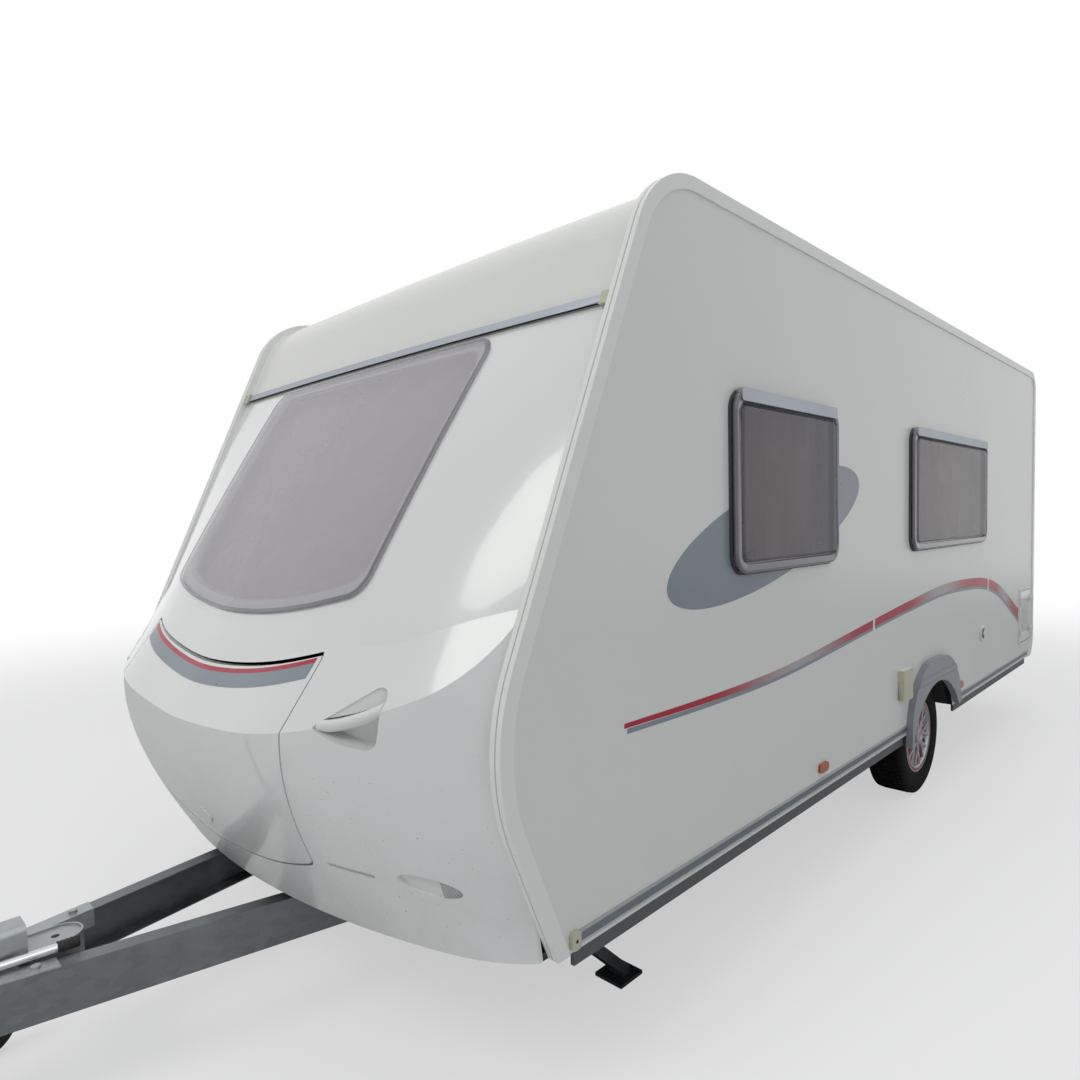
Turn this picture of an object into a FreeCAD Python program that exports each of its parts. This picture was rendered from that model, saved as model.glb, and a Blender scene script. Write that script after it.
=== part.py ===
"""Touring caravan with a raked moulded nose, a gas locker, side windows, a drawbar and one axle.

Units are millimetres. +X is the caravan's left side, -Y is the hitch end and +Z is up. The ground is
z = 0, and x = 0, y = 0 is the middle of the whole length. A station is a distance behind the tip of
the coupling.
"""
import FreeCAD, Part
import math
import os

V = FreeCAD.Vector

# Driving dimensions of the whole caravan
overall_length = 6750.0
body_width = 2300.0
roof_height = 2466.0
sill_height = 410.0
wall = 30.0
board = 40.0
fit_gap = 0.3
straight_share = 0.99
run_gap = 6.0
overrun = 20.0
half_width = body_width / 2
inner_half = half_width - wall

# Stations along the caravan
nose_station = 1452.0
tail_inset = 28.0
axle_share = 0.56698
cap_land = 97.5
locker_depth = 238.0

# Side profile of the body
rake_angle = 23.5
chin_angle = 22.2
chin_radius = 520.0
chin_height_share = 0.2607
chin_round = 44.0
brow_radius = 280.0
tail_top_radius = 100.0
tail_bottom_radius = 150.0

# Nose moulding: shape across the width, as shares of the inner half width and of the nose sizes
nose_bow = 320.0
nose_rise_share = 0.40856
rail_height_share = 0.81663
cap_bow = 24.0
moulding = 25.0
row_shares = (0.0, 0.268, 0.536, 0.67, 0.804, 0.893, 0.946, 1.0)
ridge_bow_shares = (1.0, 0.969, 0.869, 0.678, 0.397, 0.194, 0.012, -0.238)
ridge_rise_shares = (0.619, 0.633, 0.676, 0.714, 0.774, 0.833, 0.899, 1.018)
upper_bow_shares = (0.65, 0.597, 0.431, 0.288, 0.075, -0.088, -0.188, -0.288)
upper_rise_shares = (0.81, 0.833, 0.905, 0.926, 0.97, 1.01, 1.03, 1.048)
sill_bow_shares = (0.475, 0.428, 0.288, 0.178, 0.038, -0.088, -0.197, -0.353)
low_bow_shares = (0.753, 0.719, 0.616, 0.459, 0.256, 0.084, -0.041, -0.197)
low_rise_share = 0.24
mid_bow_shares = (0.944, 0.913, 0.819, 0.647, 0.397, 0.209, 0.084, -0.041)
mid_rise_share = 0.464
panel_bulge = 12.0
panel_shares = (0.3, 0.65)


def station(distance):
    """Turn a distance behind the coupling's tip into a Y."""
    return distance - overall_length / 2


def level(share):
    """Height at a share of the way from the sill to the roof."""
    return sill_height + (roof_height - sill_height) * share


chin_height, rail_height = level(chin_height_share), level(rail_height_share)
nose_rise = level(nose_rise_share) - sill_height
body_length = overall_length - tail_inset - nose_station
tail_station = nose_station + body_length
axle_station = nose_station + body_length * axle_share
bulkhead_station = nose_station + locker_depth
nose_y = station(nose_station)
tail_y = station(tail_station)
axle_y = station(axle_station)
rake = math.tan(math.radians(rake_angle))
chin = math.tan(math.radians(chin_angle))
chin_y = nose_y - chin_round
brow_reach = brow_radius * math.tan(math.radians(90 - rake_angle) / 2)
cap_back_y = chin_y + rake * (roof_height - chin_height) + brow_reach + cap_land


def body_station(share):
    """Station at a share of the body's length."""
    return nose_station + body_length * share


def box(x0, x1, y0, y1, z0, z1):
    """Block between two corners."""
    low = V(min(x0, x1), min(y0, y1), min(z0, z1))
    return Part.makeBox(abs(x1 - x0), abs(y1 - y0), abs(z1 - z0), low)


def cylinder(radius, start, end):
    """Round bar from start to end."""
    return Part.makeCylinder(radius, (end - start).Length, start, end - start)


def filleted_face(points, radii, x):
    """Face in the plane at x from corners (y, z), each rounded by its own radius."""
    count = len(points)
    starts, ends, edges = [], [], []
    corners = [V(x, y, z) for y, z in points]
    for index, corner in enumerate(corners):
        before = (corners[index - 1] - corner).normalize()
        after = (corners[(index + 1) % count] - corner).normalize()
        if radii[index] == 0:
            starts.append(corner)
            ends.append(corner)
            continue
        half = before.getAngle(after) / 2
        reach = radii[index] / math.tan(half)
        starts.append(corner + before * reach)
        ends.append(corner + after * reach)
        bisector = (before + after).normalize()
        centre = corner + bisector * (radii[index] / math.sin(half))
        middle = centre - bisector * radii[index]
        edges.append(Part.Arc(starts[index], middle, ends[index]).toShape())
    for index in range(count):
        start, end = ends[index], starts[(index + 1) % count]
        if (end - start).Length > fit_gap:
            edges.append(Part.LineSegment(start, end).toShape())
    return Part.Face(Part.Wire(Part.__sortEdges__(edges)))


def slab(points, radii, x0, x1):
    """Rounded outline (y, z) carried from x0 to x1."""
    return filleted_face(points, radii, x0).extrude(V(x1 - x0, 0, 0))


def panel(y0, y1, z0, z1, radius, x0, x1):
    """Plate with round corners, upright and square to X."""
    points = ((y0, z0), (y1, z0), (y1, z1), (y0, z1))
    return slab(points, (radius,) * len(points), x0, x1)


def mirrored(shape):
    """The same shape on the other side of the caravan."""
    return shape.mirror(V(0, 0, 0), V(1, 0, 0))


def both_sides(shape):
    """A shape and its mirror image as two solids."""
    return Part.makeCompound([shape, mirrored(shape)])


def side_corners(grow):
    """Corners and radii of the body's side outline, grown outwards by grow."""
    rake_cos = math.cos(math.radians(rake_angle))
    chin_cos = math.cos(math.radians(chin_angle))
    low, high, back = sill_height - grow, roof_height + grow, tail_y + grow
    rake_foot = chin_y - grow / rake_cos
    chin_foot = chin_y - grow / chin_cos
    apex_z = chin_height + (chin_foot - rake_foot) / (rake + chin)
    apex_y = rake_foot + rake * (apex_z - chin_height)
    points = (
        (chin_foot + chin * (chin_height - low), low),
        (back, low),
        (back, high),
        (rake_foot + rake * (high - chin_height), high),
        (apex_y, apex_z),
    )
    radii = (0, tail_bottom_radius + grow, tail_top_radius + grow, brow_radius + grow, chin_radius + grow)
    return points, radii


def side_slab(grow, x0, x1):
    """The side outline, grown by grow, as a plate from x0 to x1."""
    points, radii = side_corners(grow)
    return slab(points, radii, x0, x1)


def spline(points):
    """Smooth edge through points."""
    curve = Part.BSplineCurve()
    last = len(points) - 1
    curve.interpolate(Points=points, Parameters=[index / last for index in range(last + 1)])
    return curve.toShape()


def nose_rows(index):
    """The nose's key points (y, z) on one row across the width, from the sill to the roof."""
    def point(bow, rise):
        return nose_y - nose_bow * bow, sill_height + nose_rise * rise
    share = row_shares[index] * inner_half / half_width
    cap = cap_bow * (1 - share ** 2)
    rail_y = chin_y + rake * (rail_height - chin_height) - cap
    corner_y = chin_y + rake * (roof_height - chin_height) - cap
    return {
        "sill": point(sill_bow_shares[index], 0),
        "low": point(low_bow_shares[index], low_rise_share),
        "mid": point(mid_bow_shares[index], mid_rise_share),
        "ridge": point(ridge_bow_shares[index], ridge_rise_shares[index]),
        "upper": point(upper_bow_shares[index], upper_rise_shares[index]),
        "rail": (rail_y, rail_height),
        "corner": (corner_y, roof_height),
    }


def nose_section(index, x, depth, back):
    """Closed section of the nose on one row, drawn in by depth."""
    rows = nose_rows(index)

    def at(name, down=0):
        y, z = rows[name]
        return V(x, y + depth, z - down)
    turn = math.radians(90 - rake_angle) / 2
    slant = math.radians(rake_angle)
    corner = at("corner", depth)
    lower = corner - V(0, math.sin(slant), math.cos(slant)) * brow_reach
    upper = corner + V(0, brow_reach, 0)
    middle = corner + V(0, math.sin(turn), -math.cos(turn)) * (brow_radius * (1 / math.cos(turn) - 1))
    foot = overrun if depth > 0 else 0
    sill = at("sill", foot)
    waist, rail = at("upper"), at("rail")
    across = rail - waist
    out = V(0, -across.z, across.y).normalize() * panel_bulge
    skin = [waist]
    for share in panel_shares:
        skin.append(waist + across * share + out * (4 * share * (1 - share)))
    skin.append(rail)
    top_back = V(x, back, corner.z)
    low_back = V(x, back, sill.z)
    edges = [
        spline([sill, at("low"), at("mid"), at("ridge")]),
        Part.LineSegment(at("ridge"), waist).toShape(),
        spline(skin),
        Part.LineSegment(rail, lower).toShape(),
        Part.Arc(lower, middle, upper).toShape(),
        Part.LineSegment(upper, top_back).toShape(),
        Part.LineSegment(top_back, low_back).toShape(),
        Part.LineSegment(low_back, sill).toShape(),
    ]
    return Part.Wire(edges)


def nose_block(depth, reach_x):
    """Solid nose, drawn in by depth, out to reach_x on both sides."""
    back = cap_back_y + (overrun if depth > 0 else 0)
    last = len(row_shares) - 1
    wires = []
    for index in range(last, 0, -1):
        x = reach_x if index == last else row_shares[index] * inner_half
        wires.append(nose_section(index, -x, depth, back))
    for index in range(last + 1):
        x = reach_x if index == last else row_shares[index] * inner_half
        wires.append(nose_section(index, x, depth, back))
    return Part.makeLoft(wires, True, False)


# Openings in the nose, seen from the front (X, Z)
pane_top_share = 0.61875
pane_foot_share = 0.58214
pane_head = 29.0
pane_foot_level_share = 0.43872
pane_sag = 82.0
pane_corner = 70.0
pane_lap = 34.0
pane_stand = 10.0
lid_half_share = 0.54464
lid_top_level_share = 0.37062
lid_top_sag = 82.0
lid_foot_level_share = 0.09825
lid_foot_sag = 92.0
lid_corner = 30.0
lid_gap = 5.0
lid_top_gap = 10.0
lid_hinge_level_share = 0.35749
lid_land = 20.0
latch_level_share = 0.09241
latch_length = 90.0
latch_width = 44.0
latch_stand = 6.0
grip_inner_share = 0.625
grip_outer_share = 0.77857
grip_apex_level_share = 0.28794
grip_top_level_share = 0.34922
grip_foot_level_share = 0.26508
grip_depth = 58.0
grip_apex_round = 6.0
grip_round = 26.0
grip_foot_inset = 14.0
grip_foot_sag = 14.0
grip_ramp_top = 5.0
grip_ramp_depth = 42.0
grip_bar = 34.0
grip_bar_rise = 54.0
grip_bar_sag = 12.0
grip_bar_points = 5
grip_gap = 2.0
grip_overshoot_share = 0.5
grip_tip_trim = 14.0
slot_inner_share = 0.589
slot_outer_share = 0.705
slot_height_share = 0.1065
slot_drop = 15.0
slot_width = 12.0
slot_depth = 9.0
slot_round_share = 0.8
lamp_half_share = 0.82679
lamp_level_share = 0.09728
lamp_length = 152.0
lamp_width = 50.0
lamp_slope = 10.0
lamp_depth = 12.0
lens_start = 28.0
lens_gap = 1.5
pane_top_half, pane_foot_half = inner_half * pane_top_share, inner_half * pane_foot_share
pane_top_height = rail_height - pane_head
pane_foot_height = level(pane_foot_level_share)
lid_half = inner_half * lid_half_share
lid_top_height, lid_foot_height = level(lid_top_level_share), level(lid_foot_level_share)
lid_hinge_height, latch_height = level(lid_hinge_level_share), level(latch_level_share)
grip_apex_height, lamp_height = level(grip_apex_level_share), level(lamp_level_share)
grip_top_height, grip_foot_height = level(grip_top_level_share), level(grip_foot_level_share)
grip_inner, grip_outer = inner_half * grip_inner_share, inner_half * grip_outer_share
lamp_half = inner_half * lamp_half_share


def face_outline(edges, grow_y):
    """Prism along Y from closed edges drawn in the plane y = 0."""
    wire = Part.Wire(edges)
    prism = Part.Face(wire).extrude(V(0, grow_y, 0))
    return prism


def round_corners(prism, radius):
    """Round the prism's edges that run along Y."""
    upright = [edge for edge in prism.Edges if abs(edge.tangentAt(edge.FirstParameter).y) > straight_share]
    return prism.makeFillet(radius, upright)


def nose_prism(points, radius, sags=None):
    """Prism through the nose from points (x, z); a sag bows the edge that starts at its point."""
    reach = cap_back_y - nose_y + nose_bow + overrun
    start_y = nose_y - nose_bow - overrun
    sags = sags or (0,) * len(points)
    edges = []
    for index, (x, z) in enumerate(points):
        next_x, next_z = points[(index + 1) % len(points)]
        start, end = V(x, start_y, z), V(next_x, start_y, next_z)
        if sags[index]:
            middle = (start + end) / 2 - V(0, 0, sags[index])
            edges.append(Part.Arc(start, middle, end).toShape())
        else:
            edges.append(Part.LineSegment(start, end).toShape())
    prism = face_outline(edges, reach)
    return round_corners(prism, radius) if radius else prism


def pane_prism(inset):
    """Outline of the front window, drawn in by inset."""
    top, foot = pane_top_half - inset, pane_foot_half - inset
    high, low = pane_top_height - inset, pane_foot_height + inset
    points = ((-top, high), (-foot, low), (foot, low), (top, high))
    return nose_prism(points, pane_corner, (0, pane_sag, 0, 0))


def lid_prism(inset):
    """Outline of the locker's lid, drawn in by inset."""
    half, high, low = lid_half - inset, lid_top_height - inset, lid_foot_height + inset
    points = ((-half, high), (-half, low), (half, low), (half, high))
    return nose_prism(points, lid_corner, (0, lid_foot_sag, 0, 0)).cut(lid_brow(inset))


def lid_brow(inset):
    """What lies above the lid's bowed top edge."""
    half, high = lid_half + overrun, lid_top_height - inset
    top = high + overrun
    points = ((half, high), (half, top), (-half, top), (-half, high))
    return nose_prism(points, 0, (0, 0, 0, lid_top_sag))


def grip_prism(grow):
    """Leaf-shaped hand hold on the left, grown by grow."""
    points = (
        (grip_inner - grow * 2, grip_apex_height),
        (grip_outer - grip_foot_inset + grow, grip_foot_height - grow),
        (grip_outer + grow, grip_top_height + grow),
    )
    prism = nose_prism(points, 0, (grip_foot_sag, 0, 0))
    upright = [edge for edge in prism.Edges if abs(edge.tangentAt(edge.FirstParameter).y) > straight_share]
    apex = [edge for edge in upright if edge.BoundBox.XMax < grip_inner + overrun]
    outer = [edge for edge in upright if edge.BoundBox.XMax > grip_inner + overrun]
    return prism.makeFillet(grip_round, outer).makeFillet(grip_apex_round, apex) if len(apex) == 1 else prism


def skin_point(x, z, depth):
    """Point at (x, z) that lies depth behind the nose's skin."""
    front = nose_y - nose_bow * 2
    ray = Part.makeLine(V(x, front, z), V(x, cap_back_y, z)).common(nose_outer)
    return V(x, ray.BoundBox.YMin + depth, z)


def grip_line(share, depth):
    """Point on the middle line of the left hand hold's bar, from its apex (0) to its outer end (1)."""
    x = grip_inner + (grip_outer - grip_inner) * share
    z = grip_apex_height + grip_bar_rise * share - grip_bar_sag * 4 * share * (1 - share)
    return skin_point(x, z, depth)


def grip_ramp():
    """What fills the hand hold behind its sloping upper face, above the bar."""
    apex = skin_point(grip_inner, grip_apex_height, grip_ramp_top)
    top = skin_point(grip_outer, grip_top_height, grip_ramp_top)
    low = grip_line(1, grip_ramp_depth)
    across = (top - apex).normalize()
    down = (low - apex) - across * (low - apex).dot(across)
    down = down.normalize() * (grip_outer - grip_inner)
    reach = across * (grip_outer - grip_inner)
    corners = [apex - reach, top + reach, top + reach + down, apex - reach + down]
    wedge = Part.Face(Part.makePolygon(corners + corners[:1])).extrude(V(0, grip_depth * 4, 0))
    shares = [index / (grip_bar_points - 1) for index in range(grip_bar_points)]
    line = [grip_line(share, 0) for share in shares]
    points = [(point.x, point.z + grip_bar / 2 + grip_gap) for point in line]
    points += [(grip_outer + overrun * 2, points[-1][1]),
               (grip_outer + overrun * 2, grip_top_height + overrun * 2)]
    points += [(grip_inner - overrun, grip_top_height + overrun * 2), (grip_inner - overrun, points[0][1])]
    return wedge.common(nose_prism(points, 0))


def slot_prism():
    """Slanted drain slot beside the left lamp."""
    inner, outer = inner_half * slot_inner_share, inner_half * slot_outer_share
    height, half = level(slot_height_share), slot_width / 2
    points = (
        (inner, height - half), (outer, height - slot_drop - half),
        (outer, height - slot_drop + half), (inner, height + half),
    )
    return nose_prism(points, half * slot_round_share)


def lamp_prism(grow):
    """Oval recess of the left marker lamp, grown by grow."""
    long_radius, short_radius = lamp_length / 2 + grow, lamp_width / 2 + grow
    start_y = nose_y - nose_bow - overrun
    oval = Part.Ellipse(V(0, 0, 0), long_radius, short_radius).toShape()
    oval.rotate(V(0, 0, 0), V(1, 0, 0), 90)
    oval.rotate(V(0, 0, 0), V(0, 1, 0), lamp_slope)
    oval.translate(V(lamp_half, start_y, lamp_height))
    reach = cap_back_y - start_y
    return Part.Face(Part.Wire([oval])).extrude(V(0, reach, 0))


# Wall openings
window_height = 604.0
window_foot = 1302.0
front_window_share = 0.18368
front_window_gap = 116.0
rear_window_share = 0.4964
rear_window_width_share = 0.24839
galley_window_share = 0.59734
galley_window_width_share = 0.18975
galley_window_height = 504.0
tail_window_width = 1100.0
tail_window_height = 504.0
tail_window_foot = 1400.0
tail_flange = 8.0
window_corner = 75.0
window_lap = 28.0
frame_stand = 10.0
pane_base = 7.0
pane_rim_width = 30.0
pane_rim_rise = 17.0
pane_rim_round = 9.0
pane_groove = 7.0
pane_rise = 21.0
pane_round = 10.0
hinge_rail_height = 42.0
hinge_rail_stand = 32.0
door_width = 600.0
door_foot = 470.0
door_head = 186.0
door_fender_gap = 108.0
door_corner = 60.0
door_gap = 10.0
door_stand = 5.0
door_axis_stand = 22.0
door_hinge_offset = 12.0
door_stop = 18.0
door_window_width = 340.0
door_window_height = 480.0
door_window_drop = 830.0
door_pane_rise = 8.0
stop_depth = 8.0
door_hinge_shares = (0.1, 0.5, 0.9)
knuckle_length = 40.0
knuckle_radius = 9.0
knuckle_leaf = 4.0
knuckle_reach = 30.0
handle_height = 1180.0
handle_length = 150.0
handle_width = 62.0
handle_stand = 14.0
handle_margin = 40.0
hatch_inset = 397.0
hatch_width = 315.0
hatch_foot = 543.0
hatch_height = 371.0
hatch_corner = 30.0
hatch_gap = 6.0
hatch_frame = 16.0
hatch_stand = 8.0
hatch_stop = 14.0
hatch_axis_rise = 6.0
hatch_hinge_offset = 8.0
hatch_barrel_radius = 5.5
hatch_barrel_length = 24.0
hatch_strap = 3.0
hatch_strap_reach = 30.0
hatch_hinge_shares = (0.2, 0.8)
hatch_latch_shares = (0.2, 0.8)
bay_depth = 300.0
bay_wall = 4.0
vent_inset = 822.0
vent_width = 440.0
vent_height = 220.0
vent_low_foot = 620.0
vent_high_foot = 1240.0
vent_bars = 7
vent_stand = 12.0
vent_rim_share = 1.5
louvre_shares = (0.6, 0.1, 0.24, 0.86)

# Running gear
tyre_radius = 302.0
tyre_width = 185.0
tyre_shoulder_share = 0.14
tyre_seat_share = 0.7
tyre_inset = 58.0
rim_radius = 190.0
rim_lip = 8.0
lip_inner_share = 0.1
lip_outer_share = 0.06
hub_radius = 48.0
drum_radius = 112.0
drum_width = 58.0
spoke_count = 12
wheel_window_share = 0.55
wheel_window_circle_share = 0.74
arch_radius = 362.0
arch_liner = 8.0
arch_depth = 262.0
fender_foot_half = 402.0
fender_stand = 32.0
fender_top = 735.0
fender_front_foot = 350.0
fender_rear_foot = 428.0
fender_round = 330.0
fender_shoulder_shares = (0.95, 0.93)
fender_open_top = 612.0
fender_open_radius = 421.0
fender_band_foot = 631.0
fender_band = 28.0
fender_seam = 4.0
beam_side = 80.0
beam_wall_share = 1.5
beam_ahead = 150.0
beam_height = 250.0
arm_thickness = 30.0
arm_height = 70.0
spindle_radius = 18.0

# Chassis
drawbar_slope = 0.215
drawbar_apex_station = 350.0
drawbar_front_station = 470.0
drawbar_top = 370.0
drawbar_height = 130.0
drawbar_flange = 52.0
plate = 4.0
rail_inset = 480.0
rail_flange = 46.0
rail_depth = 120.0
rail_tail_gap = 222.0
beam_front_gap = 260.0
beam_shares = (0.2368, 0.7397, 0.9199)
cross_inset = 80.0

# Coupling
coupling_height = 430.0
ball_station = 42.0
ball_radius = 25.2
socket_length = 18.0
head_length = 215.0
head_half = 38.0
head_round_share = 0.8
head_top = 66.0
shaft_radius = 25.0
bellows_radius = 40.0
bellows_folds = 6
bellows_valley_share = 0.85
housing_station = 420.0
housing_back_station = 740.0
housing_half = 46.0
housing_drop = 66.0
housing_rise = 92.0
pan_back_station = 874.0
pan_radius = 55.0
pan_rise = 18.0
pan_lip = 5.0
rod_hole_radius = 10.0
wing_station = 660.0
wing_left_station = 790.0
wing_right_station = 930.0
cheek_drop = 48.0
nut_share = 0.5
nut_radius = 11.0
nut_height = 8.0
lever_station = 570.0
lever_end_station = 846.0
lever_splay = 26.0
lever_radius = 12.0
lever_boss_radius = 22.0
lever_height = 392.0
grip_sleeve = 50.0
grip_sleeve_radius = 16.0
grip_sleeve_ribs = 5

# Jockey wheel, on the right of the drawbar
jockey_station = 640.0
jockey_clear = 128.0
jockey_tube_radius = 24.0
jockey_post_radius = 19.0
jockey_tube_foot = 327.0
jockey_tube_top = 730.0
jockey_clamp_rise = 55.0
jockey_wheel_radius = 90.0
jockey_wheel_width = 50.0
jockey_hub_radius = 24.0
jockey_trail = 20.0
jockey_leg_cover = 150.0
kingpin_radius = 8.0
kingpin_length = 30.0
crank_length = 110.0

# Corner steadies
steady_inset = 240.0
steady_front_gap = 375.0
steady_rear_gap = 302.0
steady_pivot_height = 345.0
steady_length = 455.0
steady_width = 62.0
steady_height = 34.0
steady_hollow_share = 0.7
steady_foot_size = 110.0
steady_foot_thickness = 12.0
steady_stow_angle = 44.0
pin_radius = 8.0

# Trim
rail_grow = 28.0
rail_stand = 6.0
rail_lap = 14.0
groove_width = 5.0
groove_depth = 5.0
bar_half = 13.0
bar_stand = 14.0
bar_inset = 35.0
cap_half = 19.0
cap_stand = 20.0
cap_length = 32.0
cap_foot_share = 1.2
sill_trim_low = 425.0
sill_trim_high = 460.0
sill_trim_stand = 7.0
skirt_drop = 50.0
skirt_in = 14.0
skirt_thickness = 12.0
reflector_ahead = 1338.0
reflector_behind = 482.0
reflector_height = 501.0
reflector_length = 80.0
reflector_width = 36.0
reflector_round_share = 2.2
reflector_stand = 10.0
filler_behind = 915.0
filler_height = 744.0
filler_radius = 50.0
filler_knob_share = 0.7
filler_stand = 14.0
inlet_ahead = 511.0
inlet_width = 120.0
inlet_foot = 598.0
inlet_height = 150.0
inlet_stand = 30.0
marker_drop = 136.0
marker_width = 60.0
marker_tall = 90.0
marker_stand = 26.0
tail_lamp_height = 330.0
tail_lamp_width = 170.0
tail_lamp_foot = 560.0
tail_lamp_inset = 160.0
tail_lamp_stand = 24.0
hatchlight_size = 400.0
hatchlight_rise = 70.0
hatchlight_round = 30.0
hatchlight_frame = 30.0
hatchlight_shares = (0.35066, 0.7871)
curtain_thickness = 30.0
curtain_clear = 40.0
curtain_lap = 30.0
curtain_rail = 22.0
front_curtain_inset = 300.0
front_curtain_gap = 45.0
locker_floor = 20.0
locker_shelf_level_share = 0.39008


# Shared blocks that several pieces are cut from
nose_outer = nose_block(0, inner_half)
nose_inner = nose_block(moulding, inner_half + overrun)
nose_fit = nose_block(moulding + fit_gap, inner_half + overrun)
nose_shell = nose_outer.cut(nose_inner)
front_limit = station(0)
back_limit = station(overall_length)
tail_split_y = tail_y - tail_bottom_radius - overrun
wide = half_width + fender_foot_half
hub = V(0, axle_y, tyre_radius)

# Places that follow the body's length, width and height
tyre_outer_x = half_width - tyre_inset
rail_half = inner_half - rail_inset
cross_half = inner_half - cross_inset
steady_half = inner_half - steady_inset
bar_end = inner_half - bar_inset
tail_lamp_half = inner_half - tail_lamp_inset
front_curtain_half = inner_half - front_curtain_inset
door_height = roof_height - door_head - door_foot
door_window_foot = door_foot + door_height - door_window_drop
marker_height = roof_height - marker_drop
locker_shelf_height = level(locker_shelf_level_share)
door_station = axle_station - fender_foot_half - door_fender_gap - door_width
front_window_station = body_station(front_window_share)
front_window_width = door_station - front_window_gap - front_window_station
rear_window_station = body_station(rear_window_share)
rear_window_width = body_length * rear_window_width_share
galley_window_station = body_station(galley_window_share)
galley_window_width = body_length * galley_window_width_share
hatch_station = tail_station - hatch_inset
vent_station = tail_station - vent_inset
rail_back_station = tail_station - rail_tail_gap
steady_front_station = nose_station + steady_front_gap
steady_rear_station = tail_station - steady_rear_gap
beam_stations = [nose_station + beam_front_gap] + [body_station(share) for share in beam_shares]
hatchlight_stations = [body_station(share) for share in hatchlight_shares]
reflector_stations = (axle_station - reflector_ahead, axle_station + reflector_behind)
filler_station = axle_station + filler_behind
inlet_station = axle_station - inlet_ahead

side_windows_left = (
    (front_window_station, front_window_width, window_foot, window_height),
    (rear_window_station, rear_window_width, window_foot, window_height),
)
window_head = window_foot + window_height
galley_foot = window_head - galley_window_height
side_windows_right = (
    (front_window_station, front_window_width, window_foot, window_height),
    (galley_window_station, galley_window_width, galley_foot, galley_window_height),
)


def side_panel(place, inset, corner, x0, x1, head_room=0):
    """Upright plate on the left wall for a window or hatch at place, drawn in by inset."""
    start, width, foot, height = place
    y0 = station(start)
    top = foot + height - head_room
    return panel(y0 + inset, y0 + width - inset, foot + inset, top - inset, corner - inset, x0, x1)


def window_cut(place):
    """Hole in the left wall behind a window."""
    return side_panel(place, window_lap, window_corner, inner_half - overrun, half_width + overrun)


def window_frame(place):
    """Dark seal that lines a window's hole and laps the wall."""
    lining = side_panel(place, window_lap, window_corner, inner_half, half_width)
    flange = side_panel(place, 0, window_corner, half_width, half_width + frame_stand)
    bore_inset = window_lap + frame_stand
    bore = side_panel(place, bore_inset, window_corner, inner_half - overrun, half_width + overrun)
    return lining.fuse(flange).cut(bore).removeSplitter()


def rounded_rim(shape, face_x, radius):
    """The shape with the edges of its face at x rounded."""
    rim = [edge for edge in shape.Edges if edge.BoundBox.XMin > face_x - fit_gap]
    return shape.makeFillet(radius, rim)


def window_pane(place):
    """Double acrylic pane: a flat base, a rounded outer rim and a raised field below the hinge rail."""
    base_x = half_width + frame_stand
    groove_x, rim_x, field_x = base_x + pane_base, base_x + pane_rim_rise, base_x + pane_rise
    inset = frame_stand / 2
    base = side_panel(place, inset, window_corner, base_x, groove_x)
    rim = rounded_rim(side_panel(place, inset, window_corner, base_x, rim_x), rim_x, pane_rim_round)
    inside = side_panel(place, inset + pane_rim_width, window_corner, base_x - overrun, rim_x + overrun)
    field_inset = inset + pane_rim_width + pane_groove
    field = side_panel(place, field_inset, window_corner, base_x, field_x, hinge_rail_height - pane_rim_width)
    field = rounded_rim(field, field_x, pane_round)
    return base.fuse(rim.cut(inside)).fuse(field).cut(window_hinge_rail(place)).removeSplitter()


def window_hinge_rail(place):
    """Aluminium hinge rail along the window's head."""
    start, width, foot, height = place
    y0, top = station(start), foot + height
    end = window_corner / 2
    return panel(y0 + end, y0 + width - end, top - hinge_rail_height, top, hinge_rail_height / 4,
                 half_width + frame_stand, half_width + hinge_rail_stand)


def arch(grow, x0, x1):
    """Wheel arch seen from the side: round over the hub, straight below, grown by grow."""
    radius = arch_radius + grow
    top = cylinder(radius, hub + V(x0, 0, 0), hub + V(x1, 0, 0))
    legs = box(x0, x1, axle_y - radius, axle_y + radius, 0, tyre_radius)
    return top.fuse(legs).removeSplitter()


def wall_blank():
    """Side wall with its wheel arch cut out."""
    blank = side_slab(0, inner_half, half_width)
    return blank.cut(arch(0, inner_half - overrun, half_width + overrun))


hatch_place = (hatch_station, hatch_width, hatch_foot, hatch_height)
door_place = (door_station, door_width, door_foot, door_height)
door_window_place = (
    door_station + (door_width - door_window_width) / 2, door_window_width, door_window_foot,
    door_window_height
)


def stepped_hole(place, corner, stop):
    """Hole for a leaf, with a narrow stop left at the wall's inner face."""
    step_x = half_width - wall + stop_depth
    outer = side_panel(place, 0, corner, step_x, half_width + overrun)
    inner = side_panel(place, stop, corner, inner_half - overrun, step_x)
    return outer.fuse(inner)


def left_wall():
    """Left side wall with two windows, the service hatch's hole and its frame."""
    shape = wall_blank()
    for place in side_windows_left:
        shape = shape.cut(window_cut(place))
    ring = side_panel(hatch_place, -hatch_frame, hatch_corner, half_width, half_width + hatch_stand)
    shape = shape.fuse(ring).removeSplitter()
    shape = shape.cut(stepped_hole(hatch_place, hatch_corner, hatch_stop))
    for height in hatch_hinge_heights():
        shape = shape.fuse(hatch_barrel(height - hatch_barrel_length / 2 - fit_gap, -1))
    return shape.removeSplitter()


def right_wall():
    """Right side wall with two windows, the doorway and the vents' holes."""
    shape = wall_blank()
    for place in side_windows_right:
        shape = shape.cut(window_cut(place))
    shape = shape.cut(stepped_hole(door_place, door_corner, door_stop))
    for foot in (vent_low_foot, vent_high_foot):
        place = (vent_station, vent_width, foot, vent_height)
        shape = shape.cut(side_panel(place, vent_stand, vent_stand * 2, inner_half - overrun,
                                     half_width + overrun))
    for height in door_hinge_heights():
        shape = shape.fuse(door_knuckle(height - knuckle_length / 2 - fit_gap, -1))
    return mirrored(shape.removeSplitter())


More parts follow.
